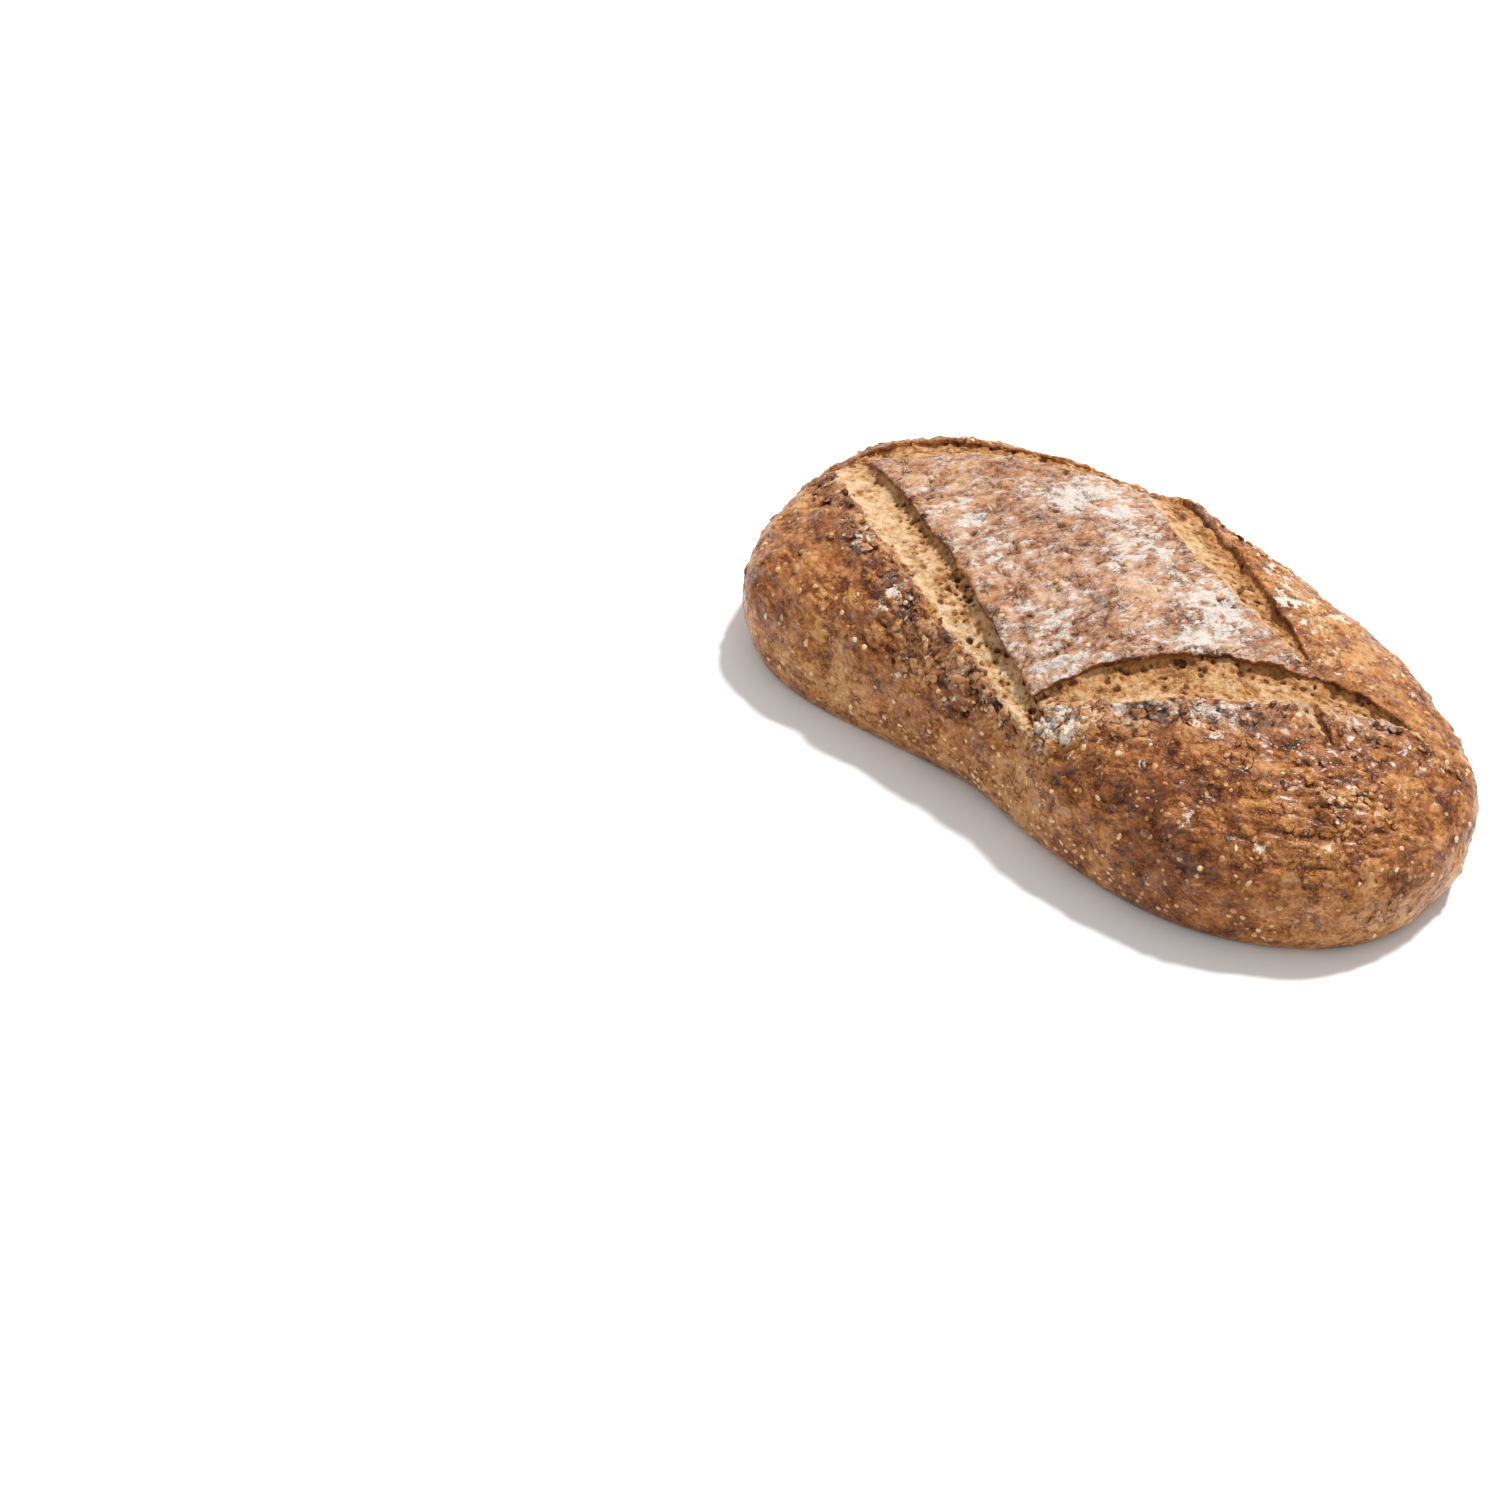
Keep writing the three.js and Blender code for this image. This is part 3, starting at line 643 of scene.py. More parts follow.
def seed_mounds(p, seeds):
    """Rise of the crust over and round each seed under its film: the most of one bell for each seed."""
    rise = np.zeros(len(p), np.float32)
    points = p.astype(np.float32)
    for first in range(0, len(seeds), SEEDS_AT_ONCE):
        part = seeds[first:first + SEEDS_AT_ONCE].astype(np.float32)
        gap = ((points[:, None, :] - part[None, :, :3]) ** 2).sum(-1)
        rise = np.maximum(rise, (part[None, :, 4] * np.exp(-gap / part[None, :, 3] ** 2)).max(1))
    return rise.astype(float)


# ---- meshes ----

def put_object(name, data):
    """An object in the scene for a mesh, a camera or a light."""
    made = bpy.data.objects.new(name, data)
    bpy.context.scene.collection.objects.link(made)
    return made


def put_mesh(name, points, quads, triangles, material, finish=None, hollow_shade=None):
    """A smooth-shaded mesh from points in mm, four-cornered and three-cornered faces, and two colour
    attributes: the finish (bake, flour, crumb) and the hollow shade (painted shade of hollows, wall or
    gloss, film)."""
    mesh = bpy.data.meshes.new(name)
    mesh.vertices.add(len(points))
    mesh.vertices.foreach_set("co", (points * MM).astype(np.float32).ravel())
    corners = np.concatenate([np.asarray(quads, np.int32).ravel(), np.asarray(triangles, np.int32).ravel()])
    starts = np.concatenate([np.arange(len(quads)) * 4, len(quads) * 4 + np.arange(len(triangles)) * 3])
    mesh.loops.add(len(corners))
    mesh.loops.foreach_set("vertex_index", corners)
    mesh.polygons.add(len(starts))
    mesh.polygons.foreach_set("loop_start", starts.astype(np.int32))
    mesh.polygons.foreach_set("use_smooth", np.ones(len(starts), bool))
    mesh.update(calc_edges=True)
    for layer, values in (("finish", finish), ("hollow_shade", hollow_shade)):
        if values is not None:
            colours = np.ones((len(points), 4), np.float32)
            colours[:, :3] = np.clip(values, 0, 1)
            mesh.attributes.new(layer, "FLOAT_COLOR", "POINT").data.foreach_set("color", colours.ravel())
    mesh.materials.append(material)
    return put_object(name, mesh)


def ring_faces(rings, start, end, turned=False):
    """Faces of a tube from the indices of its rings: quads between neighbouring rings, and a fan from
    each end's pole. Turned, they face the other way."""
    ahead = np.roll(rings, -1, axis=1)
    quads = np.stack([rings[:-1], ahead[:-1], ahead[1:], rings[1:]], -1).reshape(-1, 4)
    around = rings.shape[1]
    first = np.stack([np.full(around, start), ahead[0], rings[0]], -1)
    last = np.stack([np.full(around, end), rings[-1], ahead[-1]], -1)
    fans = np.concatenate([first, last])
    return (quads[:, [0, 3, 2, 1]], fans[:, [0, 2, 1]]) if turned else (quads, fans)


def repeated(faces, count, size, start=0):
    """The faces of `count` copies of a shell of `size` points, whose points follow each other."""
    offsets = start + np.arange(count)[:, None, None] * size
    return (faces[None] + offsets).reshape(-1, faces.shape[1])


GRID_LONG = 336  # cells of the crust's top along the loaf ...
GRID_SHORT = 236  # ... and across it
RIM_LEVEL = 1.12  # where the top's grid ends and the side's rings begin
SIDE_RINGS = 14  # from there down to the base


def nested_rings(cells_long, cells_short):
    """A grid on a disc whose nested rectangles become rings: radius is the larger of the two coordinates,
    and the angle is the share of the way round. Gives azimuths, radii, quads and the rim's indices."""
    a, b = np.meshgrid(np.linspace(-1, 1, cells_long + 1), np.linspace(-1, 1, cells_short + 1), indexing="ij")
    flat = np.abs(a) >= np.abs(b)
    radius = np.where(flat, a, b)
    lesser = np.where(flat, b, a)
    ratio = lesser / np.where(radius == 0, 1, radius)
    angle = np.where(flat, math.pi / 4 * ratio, QUARTER - math.pi / 4 * ratio)
    x = radius * np.cos(angle)
    y = radius * np.sin(angle)
    azimuth = np.arctan2(math.sqrt(WIDTH) * y, math.sqrt(LENGTH) * x)
    index = np.arange(a.size).reshape(a.shape)
    quads = np.stack([index[:-1, :-1], index[1:, :-1], index[1:, 1:], index[:-1, 1:]], -1).reshape(-1, 4)
    rim = np.concatenate([index[:-1, 0], index[-1, :-1], index[:0:-1, -1], index[0, :0:-1]])
    return azimuth.ravel(), np.abs(radius).ravel(), quads, rim


def loaf_crust(material, seeds):
    """The whole crust as one closed surface: the top on nested rings, the side in rings below it down to
    the base, and a flat base. Under the slashes' strips it drops into troughs."""
    azimuth, radius, quads, rim = nested_rings(GRID_LONG, GRID_SHORT)
    level = radius * RIM_LEVEL
    ring_level = RIM_LEVEL + (2 - RIM_LEVEL) * np.arange(1, SIDE_RINGS + 1) / SIDE_RINGS
    phi = np.concatenate([azimuth, np.tile(azimuth[rim], SIDE_RINGS)])
    level = np.concatenate([level, np.repeat(ring_level, len(rim))])
    crust = crust_at(phi, level, seeds)
    height = crust.height
    for slash, m in zip(SLASHES, crust.measures):
        covered = cut_depth(slash, m, STRIP_BACK, STRIP_PAST)[1]
        height = height - STRIP_PROUD * covered
    for slash, m in zip(SLASHES, crust.measures):
        floor, inside = cut_depth(slash, m, TROUGH_BACK, TROUGH_PAST)
        height = height * (1 - inside) + inside * np.minimum(height, -floor - TROUGH_MARGIN)
    points = crust.p + crust.normal * height[:, None]
    points = np.concatenate([points, [(0.0, 0.0, 0.0)]])
    points[:, 2] = np.maximum(points[:, 2], 0)

    top_count = len(azimuth)
    rings = np.concatenate([rim[None, :], top_count + np.arange(SIDE_RINGS * len(rim)).reshape(-1, len(rim))])
    pole = len(points) - 1
    side, fans = ring_faces(rings[::-1], pole, pole)
    finish = np.stack([crust.bake, crust.flour, np.zeros(len(phi))], -1)
    hollow_shade = np.stack([crust.hollow_shade, crust.glossy, crust.filmed], -1)
    finish = np.concatenate([finish, finish[-1:]])
    hollow_shade = np.concatenate([hollow_shade, hollow_shade[-1:]])
    base = fans[:len(rim)]
    return put_mesh("crust", points, np.concatenate([quads, side]), base, material, finish, hollow_shade)


# ---- the slashes' strips ----
# Cross-section of a slash from behind the ear to past the low edge. Each row: mm across, share of the
# depth added across, share of the width across, mm up, share of the lift, share of the depth up, crumb.
PROFILE = np.array([
    (-6.4, 0, 0, -0.7, 1, 0, 0),
    (-5.5, 0, 0, -0.02, 1, 0, 0),
    (-2.4, 0, 0, 0, 1, 0, 0),
    (-0.7, 0, 0, 0.05, 1, 0, 0),
    (0.0, 0, 0, -0.25, 1, 0, 0.05),
    (0.15, 0, 0, -0.8, 0.8, -0.04, 0.35),
    (-0.1, -0.1, 0, -0.6, 0.5, -0.3, 0.8),
    (0.1, -0.22, 0, 0, 0.2, -0.72, 1),
    (0.3, -0.16, 0.04, 0, 0, -0.96, 1),
    (0, 0, 0.22, 0, 0, -0.93, 1),
    (0, 0, 0.5, 0, 0, -0.55, 1),
    (0, 0, 0.8, 0, 0, -0.28, 1),
    (-0.9, 0, 1, 0.02, 0, -0.02, 1),
    (0.0, 0, 1, 0.1, 0, 0, 0.75),
    (0.9, 0, 1, 0.03, 0, 0, 0.15),
    (3.2, 0, 1, -0.02, 0, 0, 0),
    (4.1, 0, 1, -0.7, 0, 0, 0),
])
PROFILE_SAMPLES = [2, 5, 3, 3, 3, 4, 5, 4, 6, 8, 8, 5, 3, 3, 4, 2]  # faces between neighbouring rows
PROFILE_SOFTEN = 1  # passes of averaging that round the profile's corners
STATION_STEP = 0.5  # between two cross-sections
STRIP_OVERRUN = 4.5  # how far a strip goes on past both ends of its slash
STRIP_FADE = (0.5, 3.5)  # past the ends of its slash the hollow dies out between these distances
STRIP_UNDER = (2.6, 3.0, 2.6)  # how far its underside lies below its low side, middle and ear side


def profile_blend():
    """Weights from the profile's rows to its samples: straight between rows, then averaged with the
    neighbours a few times, with the two ends kept."""
    count = sum(PROFILE_SAMPLES) + 1
    places = np.concatenate([[0], np.cumsum(PROFILE_SAMPLES)])
    blend = np.stack([np.interp(np.arange(count), places, row) for row in np.eye(len(PROFILE))], -1)
    for _ in range(PROFILE_SOFTEN):
        blend[1:-1] = 0.25 * blend[:-2] + 0.5 * blend[1:-1] + 0.25 * blend[2:]
    return blend


def torn_edges(number, slash, line, ends):
    """Along a slash, the straying of its ear and of its low edge in mm, and how far the crumb fills it:
    noise of the distance along it."""
    place = np.stack([line.along, np.full(len(ends), 40.0 * number), np.zeros(len(ends))], -1)
    ear = JAG * (1.6 * dough_noise(place, 13.0, 80) + dough_noise(place, 5.0, 81)) * ends
    ear = ear + 0.5 * JAG * dough_noise(place, 2.2, 82) * ends
    low = LOW_JAG * (dough_noise(place, 11.0, 83) + 0.4 * dough_noise(place, 4.0, 84)) * ends
    fill = 0.8 + 1.3 * dough_noise(place, 16.0, 85) + 0.5 * dough_noise(place, 6.0, 86)
    return ear, low, slash["fill"] * np.clip(fill, 0.1, 1.3)


def slash_strip(number, slash):
    """One slash as a closed strip: its cross-section is carried along the ear, laid on the dome, roughened
    along its own normals by crumb and crust relief, and closed underneath and at both ends."""
    length = slash["length"]
    stations = int((length + 2 * STRIP_OVERRUN) / STATION_STEP)
    line = slash_line(slash, np.linspace(-STRIP_OVERRUN / length, 1 + STRIP_OVERRUN / length, stations))
    ends = 1 - smooth_step(np.abs(line.over), *STRIP_FADE)
    ear_jag, low_jag, fill = torn_edges(number, slash, line, ends)
    rows = profile_blend() @ PROFILE
    reach, reach_deep, share, up, lift, up_deep, crumb_row = rows.T
    samples = len(rows)

    left = 1 - fill[:, None] * np.interp(share, [0, 0.3, 0.8], [1, 0.65, 0])
    drop = (slash["deep"] * line.strength * ends)[:, None] * left
    at_ear = np.interp(share, [0, 0.3], [1, 0]) * bell(reach, 2.5)
    at_low = smooth_step(share, 0.5, 1.0) * bell(np.maximum(reach, 0), 1.5)
    across = reach + reach_deep * drop + share * line.wide[:, None]
    across = across + ear_jag[:, None] * at_ear + low_jag[:, None] * at_low
    plan = line.edge[:, None, :] + line.into[:, None, :] * across[:, :, None]
    crust = crust_at(*place_on_dome(plan.reshape(-1, 2)))

    crumb = (crumb_row * ends[:, None]).ravel()
    beyond = np.tile(np.where(share > 0.99, reach, -9.0), stations)
    blotch = smooth_step(dough_noise(crust.p, 6, 87) + 0.5 * dough_noise(crust.p, 2.6, 88), -0.1, 0.35)
    spill = slash["merge"] * blotch * smooth_step(beyond, 3.4, 0.6) * np.repeat(ends, samples)
    crumb = np.where(beyond > 0, np.maximum(crumb, 0.5 * spill), crumb)
    on_crust = np.maximum(1 - smooth_step(crumb, 0.0, 0.6), np.tile(lift, stations) * 0.6)
    height = (up + up_deep * drop).ravel() + crust.height * on_crust
    for other_number, (other, m) in enumerate(zip(SLASHES, crust.measures)):
        if other_number != number:
            floor, inside = cut_depth(other, m, *CROSSING)
            lowered = np.minimum(height, -floor - (CROSSING_GAP if other_number < number else 0.0))
            height = height * (1 - inside) + inside * lowered
            crumb = np.maximum(crumb, inside)
    points = crust.p + crust.normal * height[:, None]

    grid = points.reshape(stations, samples, 3)
    facing = unit(np.cross(np.gradient(grid, axis=1), np.gradient(grid, axis=0))).reshape(-1, 3)
    rough = crumb_relief(points, np.tile(share, stations), np.repeat(line.t, samples))
    torn = smooth_step(crumb, 0.15, 0.8)
    points = points + facing * (rough.height * torn)[:, None]
    finish, depth = strip_finish(slash, line, rows, crust, points, crumb, torn, rough)
    return close_strip(points, finish, depth, stations, samples, crust)


def strip_finish(slash, line, rows, crust, points, crumb, torn, rough):
    """The attributes of a strip's points: the crust's own where it isn't torn and the crumb's where it is,
    with the ear's edge singed and free of flour, and the wall under it, whose warm tint, reaching over the
    ear's shadow beside it, is partly baked colour and partly painted bounce light."""
    stations = len(line.t)
    reach, _, share, _, _, _, crumb_row = rows.T
    # The wall and the ear's shadow on the crumb beside it: there the crumb is tinted warm, partly baked
    # colour and partly painted bounce light.
    wall = np.tile(bell(share, 0.25) * smooth_step(crumb_row, 0.02, 0.5), stations)
    edge = np.tile(bell(reach - 0.1, 0.7) * (share < 0.02) * (crumb_row < 0.9), stations)
    lip = np.tile(smooth_step(reach, -0.5, 0.1) * (share < 0.02), stations)
    singed = slash["burnt"] * np.repeat(line.strength, len(rows))
    bake = crust.bake * (1 - torn) + torn * (0.3 + slash["toast"] + rough.bake)
    bake = bake + 0.3 * edge * singed * np.clip(0.6 + 1.4 * dough_noise(points, 8, 92), 0, 1)
    flour = (crust.flour * (1 - lip) - 0.3 * lip) * (1 - torn)
    flour = flour + torn * (0.2 * dough_noise(points, 11, 91) - 0.08)
    hollow_shade = crust.hollow_shade * (1 - torn) + torn * rough.hollow_shade
    filmed = crust.filmed * (1 - torn) * (1 - lip)
    return np.stack([bake, flour, crumb], -1), np.stack([hollow_shade, wall * torn, filmed], -1)


def crumb_relief(points, share, t):
    """Relief of torn crumb in mm: lumps of noise at three sizes, and two sizes of round pores that crowd
    under the ear and towards the slash's far end. Also gives the painted shade of the pores, and how dark
    each place is, with painted light and shade on the lumps, in the pores and under the ear."""
    under_ear = np.interp(share, [0.0, 0.05, 0.3, 0.6, 1.0], [0.8, 1.0, 0.5, 0.2, 0.1])
    patch = dough_noise(points, 15, 101)
    rough = np.clip(0.1 + 0.75 * under_ear + 0.9 * patch + 0.6 * t, 0.15, 1.4)
    lumps = 0.5 * dough_noise(points, 7, 102) + 0.4 * billows(points, 3.4, 103)
    lumps = lumps + 0.25 * dough_noise(points, 1.7, 104)
    away, dot = nearest_dot(points, PORE_SPACING, 105)
    reach = 0.6 + 1.3 * (dot * 6.1 % 1.0) ** 2
    pore = (dot > 0.25) * smooth_step(reach - away, 0.0, 0.5)
    away, dot = nearest_dot(points, FINE_PORE_SPACING, 106)
    small = (dot > 0.3) * smooth_step(0.3 + 0.4 * (dot * 5.3 % 1.0) - away, 0.0, 0.4)
    height = rough * (lumps - 1.2 * pore - 0.5 * small)
    # painted shade in the pores
    hollow_shade = np.clip(rough * (0.95 * pore + 0.5 * small), 0, 1)
    hollow_shade = hollow_shade * (0.35 + 0.65 * smooth_step(share, 0.0, 0.1))
    # Painted light and shade: lighter on the lumps, darker between them, and by 0.08 * under_ear darker under
    # the ear.
    bake = 0.16 * patch + 0.2 * dough_noise(points, 5, 107) + 0.08 * under_ear - 0.3 * lumps
    bake = bake - 0.18 * smooth_step(share, 0.8, 1.0)
    bake = bake + 0.3 * rough * smooth_step(dough_noise(points, 3.2, 108), 0.1, 0.5)
    # painted shade: darker in the pores
    bake = bake + rough * (0.5 * pore + 0.25 * small)
    return SimpleNamespace(height=height, hollow_shade=hollow_shade, bake=bake)


def close_strip(points, finish, depth, stations, samples, crust):
    """Adds three points under each cross-section, inside the loaf, and a pole at each end, and gives the
    closed strip's points, attributes and faces."""
    grid = points.reshape(stations, samples, 3)
    inward = -crust.normal.reshape(stations, samples, 3)
    picks = [samples - 1, samples // 2, 0]
    under = np.stack([grid[:, k] + inward[:, k] * down for k, down in zip(picks, STRIP_UNDER)], 1)
    loop = np.concatenate([grid, under], axis=1)
    around = loop.shape[1]
    poles = loop[[0, -1]].mean(axis=1)
    every = np.concatenate([loop.reshape(-1, 3), poles])

    def widen(values):
        values = values.reshape(stations, samples, 3)
        wide = np.concatenate([values, values[:, picks]], axis=1).reshape(-1, 3)
        return np.concatenate([wide, wide[[0, -1]]])

    rings = np.arange(stations * around).reshape(stations, around)
    quads, fans = ring_faces(rings, len(every) - 2, len(every) - 1)
    return every, widen(finish), widen(depth), quads, fans


def torn_slashes(material):
    """All slashes in one mesh: their closed strips side by side."""
    strips = [slash_strip(number, slash) for number, slash in enumerate(SLASHES)]
    offsets = np.cumsum([0] + [len(strip[0]) for strip in strips[:-1]])
    points, finish, depth = (np.concatenate([strip[k] for strip in strips]) for k in range(3))
    quads = np.concatenate([strip[3] + offset for strip, offset in zip(strips, offsets)])
    triangles = np.concatenate([strip[4] + offset for strip, offset in zip(strips, offsets)])
    return put_mesh("torn_slashes", points, quads, triangles, material, finish, depth)


# ---- seeds ----

def even_numbers(seed):
    """The solid's own source of even random numbers from 0 to 1: a linear congruence."""
    state = seed
    while True:
        state = (state * 1664525 + 1013904223) % 2**32
        yield state / 2**32


def clear_crust(plan):
    """True for places on the plan that are on the crust and clear of every slash by SEED_CLEAR."""
    clear = np.ones(len(plan), bool)
    for slash in SLASHES:
        steps = max(4, round(slash["length"] / 6))
        line = slash_line(slash, np.linspace(0, 1, steps + 1))
        low = line.edge + line.into * line.wide[:, None]
        to_ear = np.linalg.norm(plan[:, None] - line.edge[None], axis=-1)
        to_low = np.linalg.norm(plan[:, None] - low[None], axis=-1)
        apart = (to_ear > SEED_CLEAR) & (to_low > SEED_CLEAR)
        clear &= (apart & (np.maximum(to_ear, to_low) > line.wide[None])).all(axis=1)
    return clear


def solid_seeds():
    """The seeds that the solid has, drawn the same way: azimuth, level, kind, size and turn of each."""
    number = even_numbers(SEED_RANDOM)
    kinds = [kind for kind, _, count in SEED_KINDS for _ in range(count)]
    placed = np.zeros((0, 3))
    found = []
    while len(found) < len(kinds):
        phi = 2 * math.pi * next(number)
        level = SEED_LEVEL * math.sqrt(next(number))
        point = skin_point(np.array([phi]), np.array([level]))
        if len(placed) and np.linalg.norm(placed - point, axis=1).min() < SEED_SPACING:
            continue
        if fold_depth(point)[0] > SEED_FOLD_LIMIT or (level < 1 and not clear_crust(point[:, :2])[0]):
            continue
        placed = np.concatenate([placed, point])
        size = 1 + SEED_SIZE_SPREAD * (2 * next(number) - 1)
        found.append((phi, level, kinds[len(found)], size, math.pi * next(number)))
    return found


# The smaller seeds: kind, half sizes, how many, the least distance to another seed, and the share of the
# half height that the middle lies under the crust.
SMALL_SEEDS = [("millet", (1.15, 1.1, 0.95), 300, 2.6, 0.25), ("sesame", (1.5, 0.95, 0.6), 330, 2.4, 0.1),
               ("linseed", (1.7, 0.9, 0.5), 110, 3.0, 0.15), ("flake", (1.7, 1.2, 0.4), 36, 4.0, 0.05)]
SMALL_TRIES = 60  # tries for each smaller seed
SMALL_SIZES = (0.75, 1.15)  # times their half sizes
SMALL_LEVEL = 1.5  # the lowest level of the smaller seeds
SEEDS_THIN = (48, 30)  # distances from the loaf's long middle line between which seeds grow fewer


def small_seeds(taken):
    """More seeds, drawn at random over the skin and thinned: more on the lobes, fewer on the diamond and
    low on the sides, and each clear of the others. Gives the same columns as solid_seeds."""
    places = skin_point(*(np.array([row[k] for row in taken]) for k in (0, 1)))
    found = []
    for kind, _, count, spacing, _ in SMALL_SEEDS:
        tries = SMALL_TRIES * count
        phi = rng.uniform(0, 2 * math.pi, tries)
        level = SMALL_LEVEL * np.sqrt(rng.uniform(0, 1, tries))
        p = skin_point(phi, level)
        off_middle = np.abs(p[:, 1] + 8 + 0.05 * p[:, 0])
        lobes = np.clip(1.0 - 0.72 * smooth_step(off_middle, *SEEDS_THIN), 0.2, 1)
        likely = lobes * smooth_step(p[:, 2], RELIEF_FROM, RELIEF_FULL)
        likely = likely * (0.6 + 0.8 * np.clip(dough_noise(p, 22, 131), -0.5, 0.5))
        keep = (rng.uniform(0, 1, tries) < likely) & ((level >= 1) | clear_crust(p[:, :2]))
        made = 0
        for k in np.nonzero(keep)[0]:
            if made == count:
                break
            if np.linalg.norm(places - p[k], axis=1).min() < spacing:
                continue
            places = np.concatenate([places, p[k:k + 1]])
            found.append((phi[k], level[k], kind, rng.uniform(*SMALL_SIZES), rng.uniform(0, math.pi)))
            made += 1
    return found


SEED_RINGS = 4  # bands of faces from pole to pole
SEED_POINTS = 8  # round each ring


def seed_shell(kind):
    """A seed of half size one: a ball in rings between two poles, narrower towards one end for linseed and
    sesame, and with a groove along its top for flakes."""
    tilt = np.linspace(0, math.pi, SEED_RINGS + 1)[1:-1]
    turn = np.arange(SEED_POINTS) * 2 * math.pi / SEED_POINTS
    along = np.cos(tilt)[:, None] * np.ones(SEED_POINTS)
    round_part = np.sin(tilt)[:, None]
    if kind in ("linseed", "sesame"):
        round_part = round_part * (1 - 0.28 * np.cos(tilt)[:, None])
    across = round_part * np.cos(turn)
    up = round_part * np.sin(turn)
    if kind == "flake":
        up = up * (1 - 0.55 * bell(across, 0.25) * (up > 0))
    shell = np.stack([along, across, up], -1).reshape(-1, 3)
    points = np.concatenate([[(1.0, 0.0, 0.0)], shell, [(-1.0, 0.0, 0.0)]])
    rings = 1 + np.arange(len(shell)).reshape(-1, SEED_POINTS)
    return points, *ring_faces(rings, 0, len(points) - 1, turned=True)


def skin_ways(normal, turn):
    """Two ways at right angles on the skin, turned round its normal by each angle from level."""
    level_way = unit(np.cross((0.0, 0.0, 1.0), normal + (1e-6, 0, 0)))
    x = level_way * np.cos(turn)[:, None] + np.cross(normal, level_way) * np.sin(turn)[:, None]
    return x, np.cross(normal, x)


def seed_layout(rows, halves, sinks):
    """Middles, half sizes and frames of seeds lying on the crust: x and y turned on the skin, z along the
    normal, and the middle under the crust by a share of the half height."""
    phi, level, size, turn = (np.array([row[k] for row in rows]) for k in (0, 1, 3, 4))
    crust = crust_at(phi, level)
    half = halves * size[:, None]
    normal = crust.normal
    x, y = skin_ways(normal, turn)
    middle = crust.p + normal * (crust.height - sinks * half[:, 2])[:, None]
    return SimpleNamespace(skin=crust.p, middle=middle, half=half, ways=np.stack([x, y, normal], 1),
                           flour=crust.flour, bake=crust.bake)


def lay_seeds():
    """The layout of all seeds, the solid's own and then the smaller ones, their kinds, and the mounds of
    the crust's film over them: place, reach and rise."""
    large = solid_seeds()
    small = small_seeds(large)
    large_half = {kind: half for kind, half, _ in SEED_KINDS}
    small_half = {kind: half for kind, half, _, _, _ in SMALL_SEEDS}
    small_sink = {kind: sink for kind, _, _, _, sink in SMALL_SEEDS}
    halves = [large_half[row[2]] for row in large] + [small_half[row[2]] for row in small]
    sinks = [SEED_SINK] * len(large) + [small_sink[row[2]] for row in small]
    layout = seed_layout(large + small, np.array(halves), np.array(sinks))
    kind_of = np.array([row[2] for row in large + small])
    reach = layout.half[:, :2].mean(axis=1) * FILM_REACH
    rise = np.where(kind_of == "flake", *FILM_RISE) * np.repeat([FILM_LARGE, 1.0], [len(large), len(small)])
    return layout, kind_of, np.concatenate([layout.skin, reach[:, None], rise[:, None]], axis=1)


def seed_piece(name, kinds, layout, kind_of, material):
    """All seeds of some kinds in one mesh: each kind's shell, scaled, turned and moved for every seed."""
    points, quads, triangles, finish = [], [], [], []
    start = 0
    for kind in kinds:
        picked = np.nonzero(kind_of == kind)[0]
        shell, shell_quads, shell_triangles = seed_shell(kind)
        local = shell[None] * layout.half[picked][:, None]
        placed = np.einsum("nvk,nkc->nvc", local, layout.ways[picked]) + layout.middle[picked][:, None]
        points.append(placed.reshape(-1, 3))
        quads.append(repeated(shell_quads, len(picked), len(shell), start))
        triangles.append(repeated(shell_triangles, len(picked), len(shell), start))
        own = np.stack([rng.uniform(0, 1, len(picked)), layout.flour[picked], layout.bake[picked]], -1)
        finish.append(np.repeat(own, len(shell), axis=0))
        start += len(picked) * len(shell)
    return put_mesh(name, np.concatenate(points), np.concatenate(quads), np.concatenate(triangles),
                    material, np.concatenate(finish))


# ---- loose flakes of crust ----
FLAKE_LIMIT = 1000  # no more flakes than this ...
FLAKE_TRIES = 16000  # ... from so many tries
FLAKE_LEVEL = 1.2  # the lowest level of a flake
FLAKE_LIFT = (0.08, 0.34)  # how far its free side stands up, as a share of its half size
FLAKE_HALF = (1.0, 3.2)  # half size in mm, from and to
FLAKE_POINTS = 10  # round its rim
FLAKE_RIM = ((2, 0.2), (3, 0.16), (5, 0.12))  # waves round a flake's rim, and how far each strays
FLAKE_THICK = 0.12  # share of its half size that a flake bulges, and that its rim is wavy
FLAKE_POLE = 0.6  # mm that its underside reaches into the crust


